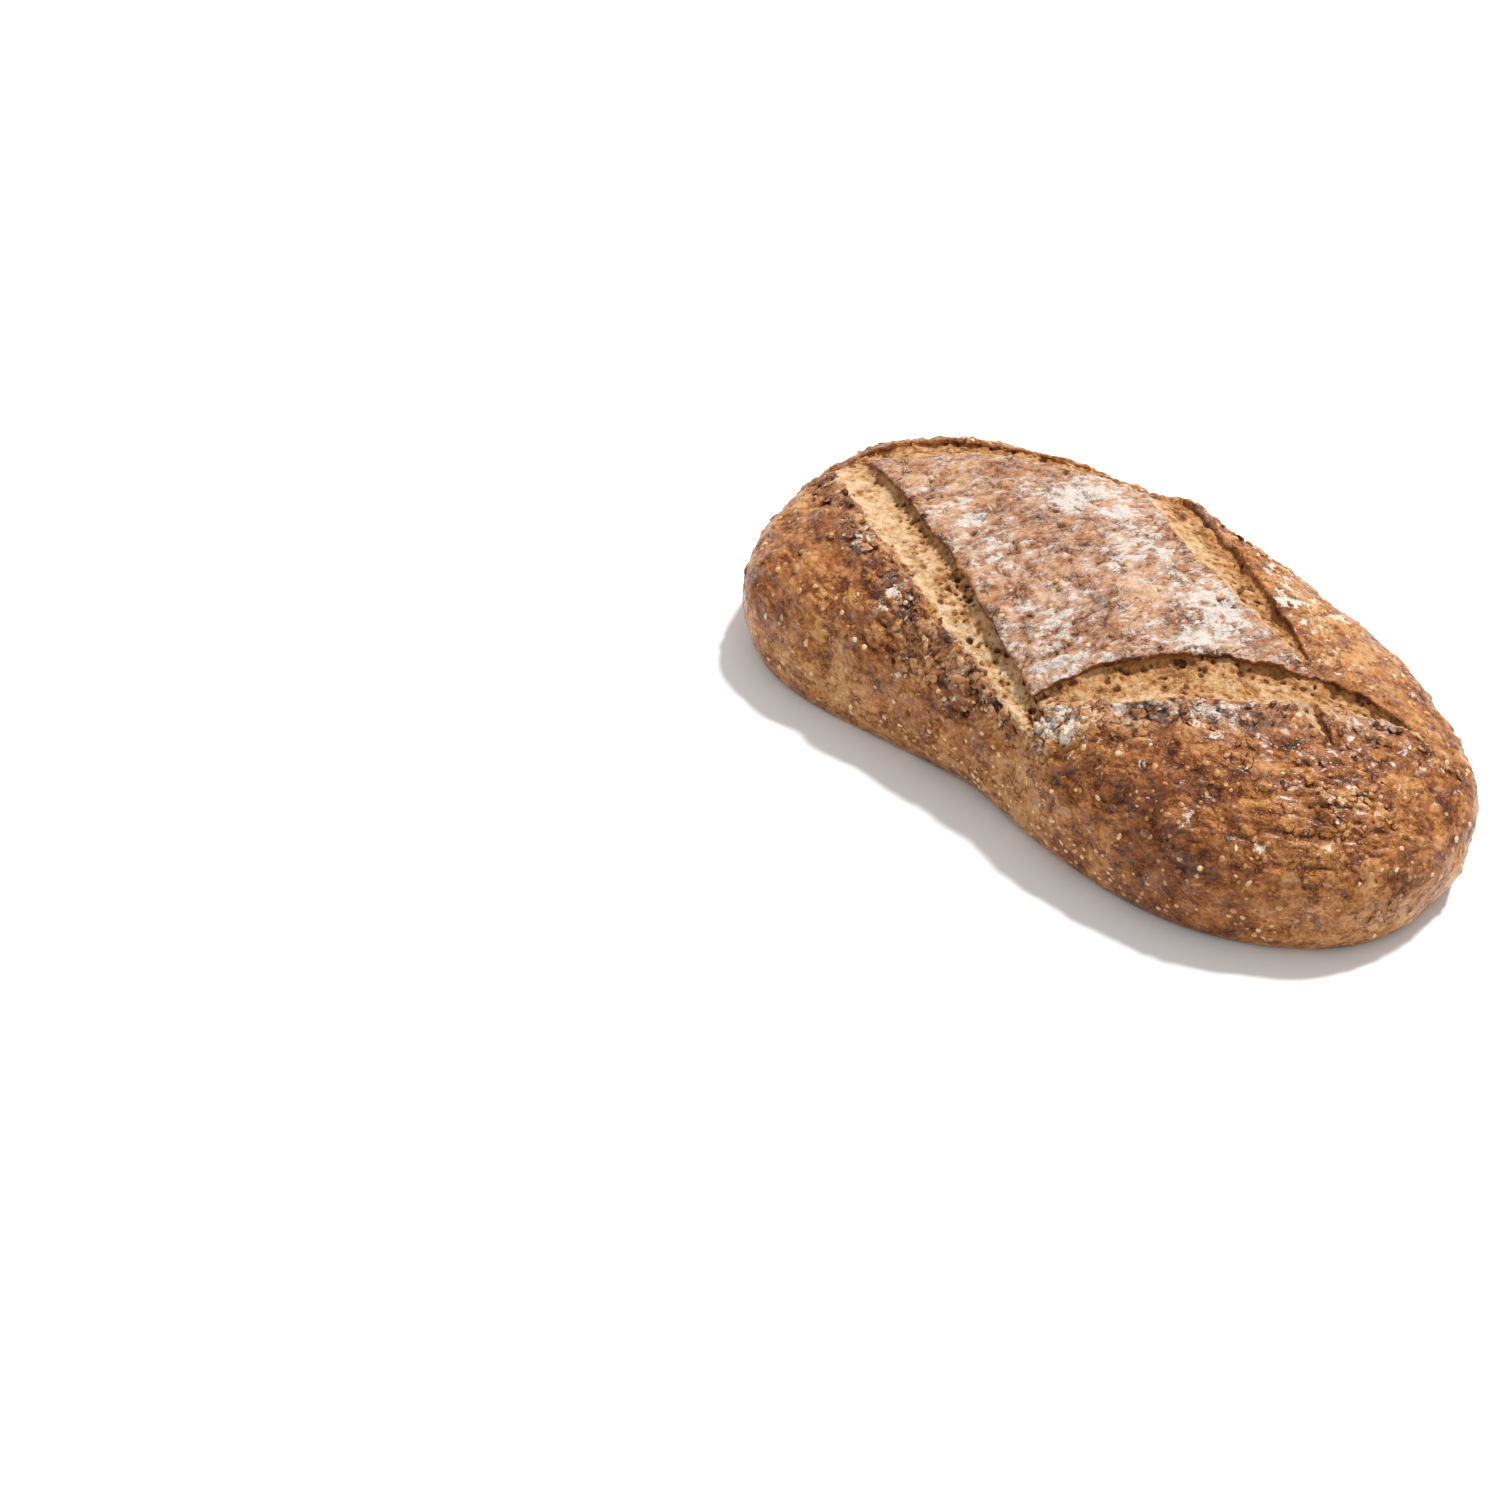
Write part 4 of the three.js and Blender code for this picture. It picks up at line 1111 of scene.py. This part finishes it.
def crust_flakes(material):
    """Flakes of torn crust, each a closed shell: a middle, a ring half way out, a rim that strays from a
    circle by three sine waves, and a pole below. The free side stands up by lift * (1/2 + x/2)^2."""
    phi = rng.uniform(0, 2 * math.pi, FLAKE_TRIES)
    level = FLAKE_LEVEL * np.sqrt(rng.uniform(0, 1, FLAKE_TRIES))
    crust = crust_at(phi, level)
    keep = np.nonzero(rng.uniform(0, 1, FLAKE_TRIES) < crust.flaky)[0][:FLAKE_LIMIT]
    count = len(keep)
    normal = crust.normal[keep]
    x_way, y_way = skin_ways(normal, rng.uniform(0, 2 * math.pi, count))
    middle = crust.p[keep] + normal * (crust.height[keep] - 0.1)[:, None]

    half = FLAKE_HALF[0] + (FLAKE_HALF[1] - FLAKE_HALF[0]) * rng.uniform(0, 1, count) ** 1.6
    narrow = rng.uniform(0.4, 0.9, count)
    angle = np.arange(FLAKE_POINTS) * 2 * math.pi / FLAKE_POINTS
    phases = rng.uniform(0, 2 * math.pi, (3, count, 1))
    rim = 1 + sum(stray * np.sin(waves * angle + phase) for (waves, stray), phase in zip(FLAKE_RIM, phases))
    share = np.concatenate([np.zeros((count, 1)), 0.55 * rim, rim, np.zeros((count, 1))], axis=1)
    around = np.concatenate([[0], angle, angle, [0]])
    x = share * np.cos(around) * half[:, None]
    y = share * np.sin(around) * (half * narrow)[:, None]
    lift = half * rng.uniform(*FLAKE_LIFT, count)
    up = lift[:, None] * (0.5 + 0.5 * x / half[:, None]) ** 2
    up = up + FLAKE_THICK * half[:, None] * (1 - share**2 + np.sin(3 * around + phases[0]))
    up[:, -1] = -FLAKE_POLE
    offset = (x[..., None] * x_way[:, None] + y[..., None] * y_way[:, None] + up[..., None] * normal[:, None])
    points = (middle[:, None] + offset).reshape(-1, 3)

    size = 2 + 2 * FLAKE_POINTS
    rings = 1 + np.arange(2 * FLAKE_POINTS).reshape(2, FLAKE_POINTS)
    quads, fans = ring_faces(rings, 0, size - 1, turned=True)
    bake = crust.bake[keep] + rng.uniform(-0.25, 0.15, count)
    flour = crust.flour[keep] + rng.uniform(-0.35, 0.3, count)
    own = np.stack([bake, flour, np.zeros(count)], -1)
    low = np.stack([np.zeros(count), np.zeros(count), crust.filmed[keep]], -1)
    return put_mesh("crust_flakes", points, repeated(quads, count, size), repeated(fans, count, size),
                    material, np.repeat(own, size, axis=0), np.repeat(low, size, axis=0))


# ---- materials ----

def tone(red, green, blue):
    """A colour given as it looks on screen, 0 to 255, as linear light."""
    shares = [value / 255 for value in (red, green, blue)]
    return [s / 12.92 if s <= 0.04045 else ((s + 0.055) / 1.055) ** 2.4 for s in shares] + [1.0]


def add(tree, kind, inputs=None, **settings):
    """Adds a node, sets its properties, and fills or links its inputs."""
    made = tree.nodes.new(kind)
    for name, value in settings.items():
        setattr(made, name, value)
    for key, value in (inputs or {}).items():
        if isinstance(value, bpy.types.NodeSocket):
            tree.links.new(value, made.inputs[key])
        else:
            made.inputs[key].default_value = value
    return made


def sums(tree, operation, first, second=0.5, third=0.5, clamp=False):
    """One sum on values: ADD, MULTIPLY, MULTIPLY_ADD and so on."""
    made = add(tree, "ShaderNodeMath", {0: first, 1: second, 2: third}, operation=operation, use_clamp=clamp)
    return made.outputs[0]


def span(tree, value, low, high, to_low=0.0, to_high=1.0):
    """The value's range low..high carried smoothly to to_low..to_high."""
    made = add(tree, "ShaderNodeMapRange", {"Value": value, "From Min": low, "From Max": high,
                                            "To Min": to_low, "To Max": to_high},
               interpolation_type="SMOOTHSTEP")
    return made.outputs[0]


def grit(tree, place, scale, detail=3.0, roughness=0.55):
    """Layered noise from about 0 to 1."""
    made = add(tree, "ShaderNodeTexNoise", {"Vector": place, "Scale": scale, "Detail": detail,
                                            "Roughness": roughness})
    return made.outputs["Fac"]


def speckle(tree, place, scale, detail=3.0, roughness=0.55):
    """Layered noise from about -0.5 to 0.5."""
    return sums(tree, "SUBTRACT", grit(tree, place, scale, detail, roughness), 0.5)


def spots(tree, place, scale):
    """Dots scattered one to a cell: the distance to the nearest, in cells, and its three random shares."""
    made = add(tree, "ShaderNodeTexVoronoi", {"Vector": place, "Scale": scale}, feature="F1")
    shares = add(tree, "ShaderNodeSeparateColor", {"Color": made.outputs["Color"]}).outputs
    return made.outputs["Distance"], shares


def weighted(tree, start, terms):
    """A value plus others, each times its own weight."""
    for value, weight in terms:
        start = sums(tree, "MULTIPLY_ADD", value, weight, start)
    return start


def ramp(tree, value, stops):
    """A colour for each value, blended between the stops (place, colour)."""
    made = add(tree, "ShaderNodeValToRGB", {"Fac": value})
    band = made.color_ramp
    band.elements[0].position, band.elements[1].position = stops[0][0], stops[-1][0]
    band.elements[0].color, band.elements[1].color = stops[0][1], stops[-1][1]
    for place, colour in stops[1:-1]:
        band.elements.new(place).color = colour
    return made.outputs["Color"]


def blend(tree, share, first, second, way="MIX"):
    """Two colours mixed by a share."""
    made = add(tree, "ShaderNodeMix", {0: share, 6: first, 7: second}, data_type="RGBA", blend_type=way)
    return made.outputs[2]


def either(tree, share, first, second):
    """Two values mixed by a share."""
    return add(tree, "ShaderNodeMix", {0: share, 2: first, 3: second}, data_type="FLOAT").outputs[0]


def group_of(name, inputs, outputs):
    """An empty node group with named inputs and outputs."""
    tree = bpy.data.node_groups.new(name, "ShaderNodeTree")
    for label, kind in inputs:
        tree.interface.new_socket(label, in_out="INPUT", socket_type=kind)
    for label, kind in outputs:
        tree.interface.new_socket(label, in_out="OUTPUT", socket_type=kind)
    return tree, tree.nodes.new("NodeGroupInput"), tree.nodes.new("NodeGroupOutput")


def flour_group():
    """Flour: it lies in clumps where the amount beats two sizes of grit, and as a thin film round them."""
    tree, given, gives = group_of(
        "flour_dust",
        [("Place", "NodeSocketVector"), ("Amount", "NodeSocketFloat"), ("Film", "NodeSocketFloat")],
        [("Cover", "NodeSocketFloat"), ("Height", "NodeSocketFloat")])
    clumps = speckle(tree, given.outputs["Place"], 330.0, 5.0, 0.72)
    grains = speckle(tree, given.outputs["Place"], 1500.0, 2.0, 0.6)
    edge = weighted(tree, given.outputs["Amount"], [(clumps, 2.4), (grains, 0.7)])
    pile = span(tree, edge, 0.46, 0.62)
    film = sums(tree, "MULTIPLY", span(tree, edge, 0.0, 0.5), given.outputs["Film"])
    cover = sums(tree, "MAXIMUM", pile, film)
    tree.links.new(cover, gives.inputs["Cover"])
    tree.links.new(sums(tree, "MULTIPLY", pile, edge), gives.inputs["Height"])
    return tree


def dust(tree, flour_dust, place, amount, film):
    """Flour at places, by its amount and the strength of its thin film: its cover and its height."""
    inputs = {"Place": place, "Amount": amount, "Film": film}
    made = add(tree, "ShaderNodeGroup", inputs, node_tree=flour_dust)
    return made.outputs["Cover"], made.outputs["Height"]


def new_material(name):
    """A material with a bare Principled shader: the material, its tree, the shader and Object places."""
    material = bpy.data.materials.new(name)
    material.use_nodes = True
    tree = material.node_tree
    shader = tree.nodes["Principled BSDF"]
    place = add(tree, "ShaderNodeTexCoord").outputs["Object"]
    return material, tree, shader, place


def layer(tree, name):
    """The three values of a colour attribute."""
    colour = add(tree, "ShaderNodeAttribute", attribute_name=name).outputs["Color"]
    return add(tree, "ShaderNodeSeparateColor", {"Color": colour}).outputs


def crust_material(flour_dust):
    """Crust, torn crumb and flour in one finish. The mesh says how dark, how floury and how torn each place
    is, how much painted shade its hollows get, how filmed with flour it is, and where a slash's wall or
    glossy skin is. Grit breaks every edge up. Scales are in features per metre."""
    material, tree, shader, place = new_material("baked_crust")
    bake, flour, crumb = layer(tree, "finish")
    hollow_shade, wall, filmed = layer(tree, "hollow_shade")
    turned = add(tree, "ShaderNodeMapping", {"Vector": place, "Rotation": (0, 0, -GRAIN_TURN)}).outputs[0]
    drawn = add(tree, "ShaderNodeMapping", {"Vector": turned, "Scale": STREAK_SCALE}).outputs[0]

    # the baked crust: mottled, in small scales with dark seams, partly baked colour and partly painted shade
    # in small creases
    mottle = speckle(tree, place, 100.0, 5.0, 0.6)
    fleck = either(tree, filmed, grit(tree, place, 430.0, 4.0, 0.66), grit(tree, drawn, 430.0, 4.0, 0.66))
    fleck = sums(tree, "SUBTRACT", fleck, 0.5)
    stir = add(tree, "ShaderNodeTexNoise", {"Vector": place, "Scale": 300.0, "Detail": 2.0}).outputs["Color"]
    bent = add(tree, "ShaderNodeVectorMath", {0: stir, 1: (0.006, 0.006, 0.006), 2: place},
               operation="MULTIPLY_ADD").outputs[0]
    _, scales = spots(tree, bent, 260.0)
    seam = span(tree, sums(tree, "ABSOLUTE", speckle(tree, bent, 150.0, 3.0, 0.6)), 0.035, 0.0)
    seam = sums(tree, "MULTIPLY", seam, span(tree, mottle, -0.06, 0.08))
    own = sums(tree, "SUBTRACT", scales[0], 0.5)
    dark = weighted(tree, bake, [(mottle, 1.1), (fleck, 1.3), (own, 0.2), (seam, 0.45)])
    crust_colour = blend(tree, sums(tree, "MULTIPLY", filmed, 0.8), ramp(tree, dark, CRUST_TONES),
                         ramp(tree, dark, DIAMOND_TONES))

    # the torn crumb
    crumb_fleck = speckle(tree, place, 300.0, 6.0, 0.7)
    torn = span(tree, weighted(tree, crumb, [(crumb_fleck, 1.6)]), 0.25, 0.6)
    crumb_level = weighted(tree, bake, [(crumb_fleck, 2.0)])
    # Near the wall the crumb turns warm brown: partly its baked colour, partly painted bounce light in the
    # ear's shadow.
    crumb_colour = blend(tree, sums(tree, "MULTIPLY", wall, 0.5), ramp(tree, crumb_level, CRUMB_TONES),
                         WALL_AND_BOUNCE_TONE)
    colour = blend(tree, torn, crust_colour, crumb_colour)

    # pale and dark grains too small to be seeds of their own, and the shade of pits and creases
    away, dot_share = spots(tree, place, 310.0)
    picked = span(tree, weighted(tree, dot_share[0], [(mottle, 1.2)]), 0.72, 0.78)
    dot = sums(tree, "MULTIPLY", span(tree, away, 0.32, 0.2), picked)
    dot_tint = sums(tree, "MULTIPLY", dot, span(tree, dot_share[1], 0.0, 1.0, 0.2, 0.85))
    colour = blend(tree, dot_tint, colour, PALE_DOT_TONE)
    away, speck_share = spots(tree, bent, 230.0)
    speck = sums(tree, "MULTIPLY", span(tree, away, 0.28, 0.12), span(tree, speck_share[2], 0.74, 0.78))
    colour = blend(tree, sums(tree, "MULTIPLY", speck, 0.75), colour, DARK_SPECK_TONE)
    colour = blend(tree, sums(tree, "MULTIPLY", hollow_shade, 0.9), colour, PAINTED_SHADE_TINT, "MULTIPLY")

    # flour, drawn out along the grain on the diamond
    streaky = weighted(tree, flour, [(sums(tree, "SUBTRACT", scales[1], 0.5), 0.3)])
    lobes_cover, lobes_pile = dust(tree, flour_dust, place, streaky, 0.04)
    diamond_cover, diamond_pile = dust(tree, flour_dust, drawn, streaky, 0.36)
    cover = sums(tree, "MULTIPLY", either(tree, filmed, lobes_cover, diamond_cover), 0.82)
    pile = either(tree, filmed, lobes_pile, diamond_pile)
    flour_colour = blend(tree, filmed, FLOUR_TONE, DIAMOND_FLOUR_TONE)
    tree.links.new(blend(tree, cover, colour, flour_colour), shader.inputs["Base Color"])

    # the shine of baked starch, in patches
    gloss = span(tree, grit(tree, place, 160.0, 3.0), 0.35, 0.65, 0.27, 0.5)
    matt = sums(tree, "MAXIMUM", torn, cover)
    rough = sums(tree, "MULTIPLY_ADD", matt, 0.4, gloss, clamp=True)
    tree.links.new(rough, shader.inputs["Roughness"])
    shine = span(tree, grit(tree, place, 120.0, 3.0), 0.4, 0.66, 0.03, 0.48)
    shine = sums(tree, "SUBTRACT", weighted(tree, shine, [(wall, 0.3)]), matt, clamp=True)
    tree.links.new(shine, shader.inputs["Coat Weight"])
    shader.inputs["Coat Roughness"].default_value = 0.3
    shader.inputs["Coat Tint"].default_value = (1.0, 0.94, 0.87, 1.0)
    shader.inputs["Specular IOR Level"].default_value = 0.2
    shader.inputs["Specular Tint"].default_value = (1.0, 0.84, 0.66, 1.0)

    # the finest relief
    grains = either(tree, filmed, grit(tree, place, 430.0, 2.0, 0.5), grit(tree, drawn, 430.0, 3.0, 0.55))
    torn_fleck = sums(tree, "MULTIPLY", crumb_fleck, torn)
    height = weighted(tree, mottle, [(grains, 1.75), (scales[0], 0.16), (seam, -0.3), (dot, 0.22),
                                     (speck, -0.2), (torn_fleck, 1.0), (pile, 0.1)])
    bump = add(tree, "ShaderNodeBump", {"Height": height, "Strength": 1.0, "Distance": 0.0011})
    tree.links.new(bump.outputs["Normal"], shader.inputs["Normal"])
    return material


def seed_material(name, flour_dust, tones, film, roughness):
    """Seeds: each its own tone, veiled by baked crust up to the share `film`, and a little floury."""
    material, tree, shader, place = new_material(name)
    own, flour, bake = layer(tree, "finish")
    grains = grit(tree, place, 900.0, 3.0, 0.6)
    fleck = sums(tree, "SUBTRACT", grains, 0.5)
    colour = ramp(tree, weighted(tree, own, [(fleck, 0.5)]), tones)
    baked = ramp(tree, weighted(tree, bake, [(fleck, 1.2)]), CRUST_TONES)
    veil = weighted(tree, sums(tree, "MULTIPLY", bake, 0.35), [(grit(tree, place, 420.0), 0.9)])
    colour = blend(tree, span(tree, veil, 0.45, 0.8, film - 0.2, film), colour, baked)
    cover, _ = dust(tree, flour_dust, place, flour, 0.04)
    colour = blend(tree, sums(tree, "MULTIPLY", cover, 0.8), colour, SEED_FLOUR_TONE)
    tree.links.new(colour, shader.inputs["Base Color"])
    gloss = span(tree, grains, 0.3, 0.7, roughness, roughness + 0.18)
    tree.links.new(sums(tree, "MULTIPLY_ADD", cover, 0.4, gloss, clamp=True), shader.inputs["Roughness"])
    bump = add(tree, "ShaderNodeBump", {"Height": grit(tree, place, 1400.0, 2.0), "Strength": 0.5,
                                        "Distance": 0.0003})
    tree.links.new(bump.outputs["Normal"], shader.inputs["Normal"])
    return material


CRUST_TONES = [(0.0, tone(184, 136, 86)), (0.22, tone(164, 108, 58)), (0.42, tone(142, 85, 40)),
               (0.6, tone(121, 67, 29)), (0.8, tone(99, 49, 18)), (1.0, tone(75, 34, 12))]
DIAMOND_TONES = [(0.0, tone(188, 152, 122)), (0.3, tone(168, 124, 94)), (0.55, tone(142, 94, 66)),
                 (0.8, tone(92, 53, 32)), (1.0, tone(56, 31, 18))]
CRUMB_TONES = [(0.0, tone(206, 176, 141)), (0.28, tone(190, 153, 112)), (0.5, tone(171, 121, 73)),
               (0.72, tone(128, 81, 43)), (1.0, tone(80, 46, 22))]

# the wall's warm brown: partly baked crumb, partly painted bounce light in the ear's shadow
WALL_AND_BOUNCE_TONE = tone(178, 122, 77)
PALE_DOT_TONE = tone(206, 158, 100)
DARK_SPECK_TONE = tone(70, 40, 24)
# painted shade, multiplied into the pits, slits, holes, creases and pores
PAINTED_SHADE_TINT = tone(158, 116, 80)
FLOUR_TONE = tone(224, 208, 192)
DIAMOND_FLOUR_TONE = tone(204, 196, 188)
SEED_FLOUR_TONE = tone(196, 180, 164)
PALE_SEED_TONES = [(0.0, tone(176, 124, 74)), (0.5, tone(204, 158, 104)), (1.0, tone(236, 208, 164))]
DARK_SEED_TONES = [(0.0, tone(52, 30, 20)), (0.6, tone(86, 50, 30)), (1.0, tone(128, 80, 46))]
GRAIN_FLAKE_TONES = [(0.0, tone(170, 124, 80)), (0.5, tone(200, 160, 116)), (1.0, tone(222, 196, 160))]
STREAK_SCALE = (0.5, 1.0, 0.85)  # patterns on the diamond: shrinking along its grain, across it and upwards

flour_dust = flour_group()
baked_crust = crust_material(flour_dust)
pale_seed = seed_material("pale_seed", flour_dust, PALE_SEED_TONES, 0.45, 0.34)
dark_seed = seed_material("dark_seed", flour_dust, DARK_SEED_TONES, 0.5, 0.3)
flake_seed = seed_material("grain_flake", flour_dust, GRAIN_FLAKE_TONES, 1.0, 0.4)


# ---- the loaf's pieces ----
layout, kind_of, mounds = lay_seeds()
pieces = [
    (loaf_crust(baked_crust, mounds), "crust"),
    (torn_slashes(baked_crust), "crust"),
    (crust_flakes(baked_crust), "crust"),
    (seed_piece("pale_seeds", ["millet", "sesame"], layout, kind_of, pale_seed), "pale_seeds"),
    (seed_piece("dark_seeds", ["linseed"], layout, kind_of, dark_seed), "dark_seeds"),
    (seed_piece("grain_flakes", ["flake"], layout, kind_of, flake_seed), "flakes"),
]
for piece, slot in pieces:
    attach(piece, "root")
    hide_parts("loaf")

# ---- floor, light and camera, in metres ----
FLOOR_HALF = 9.0
FLOOR_GREY = 0.86
WORLD_STRENGTH = 0.75
KEY_STRENGTH = 4.0
KEY_SPREAD = math.radians(7)  # the key light's breadth, which softens its shadow
KEY_WAY = Vector((0.03, 0.42, 0.906))  # from the loaf towards the key light
CAMERA_AIM = Vector((-0.0877, -0.1130, 0.0))
CAMERA_TURN = math.radians(44.7)
CAMERA_RISE = math.radians(41.0)
CAMERA_AWAY = 1.4525
LENS_MM = 90
SENSOR_MM = 36

floor_mesh = bpy.data.meshes.new("floor")
corners = [(-FLOOR_HALF, -FLOOR_HALF, 0), (FLOOR_HALF, -FLOOR_HALF, 0),
           (FLOOR_HALF, FLOOR_HALF, 0), (-FLOOR_HALF, FLOOR_HALF, 0)]
floor_mesh.from_pydata(corners, [], [(0, 1, 2, 3)])
white_floor, _, floor_shader, _ = new_material("white_floor")
floor_shader.inputs["Base Color"].default_value = (FLOOR_GREY, FLOOR_GREY, FLOOR_GREY, 1)
floor_shader.inputs["Roughness"].default_value = 0.9
floor_mesh.materials.append(white_floor)
floor = put_object("floor", floor_mesh)

camera_data = bpy.data.cameras.new("camera")
camera_data.lens = LENS_MM
camera_data.sensor_width = SENSOR_MM
camera = put_object("camera", camera_data)
back = Vector((math.sin(CAMERA_TURN) * math.cos(CAMERA_RISE), -math.cos(CAMERA_TURN) * math.cos(CAMERA_RISE),
               math.sin(CAMERA_RISE)))
camera.location = CAMERA_AIM + CAMERA_AWAY * back
camera.rotation_mode = "QUATERNION"
camera.rotation_quaternion = back.to_track_quat("Z", "Y")
bpy.context.scene.camera = camera

world = bpy.data.worlds.new("studio")
world.use_nodes = True
backdrop = world.node_tree.nodes["Background"]
backdrop.inputs["Color"].default_value = (1, 1, 1, 1)
backdrop.inputs["Strength"].default_value = WORLD_STRENGTH
bpy.context.scene.world = world

key_data = bpy.data.lights.new("key", "SUN")
key_data.energy = KEY_STRENGTH
key_data.angle = KEY_SPREAD
key = put_object("key", key_data)
key.rotation_mode = "QUATERNION"
key.rotation_quaternion = KEY_WAY.to_track_quat("Z", "Y")
bpy.context.scene.view_settings.view_transform = "Standard"
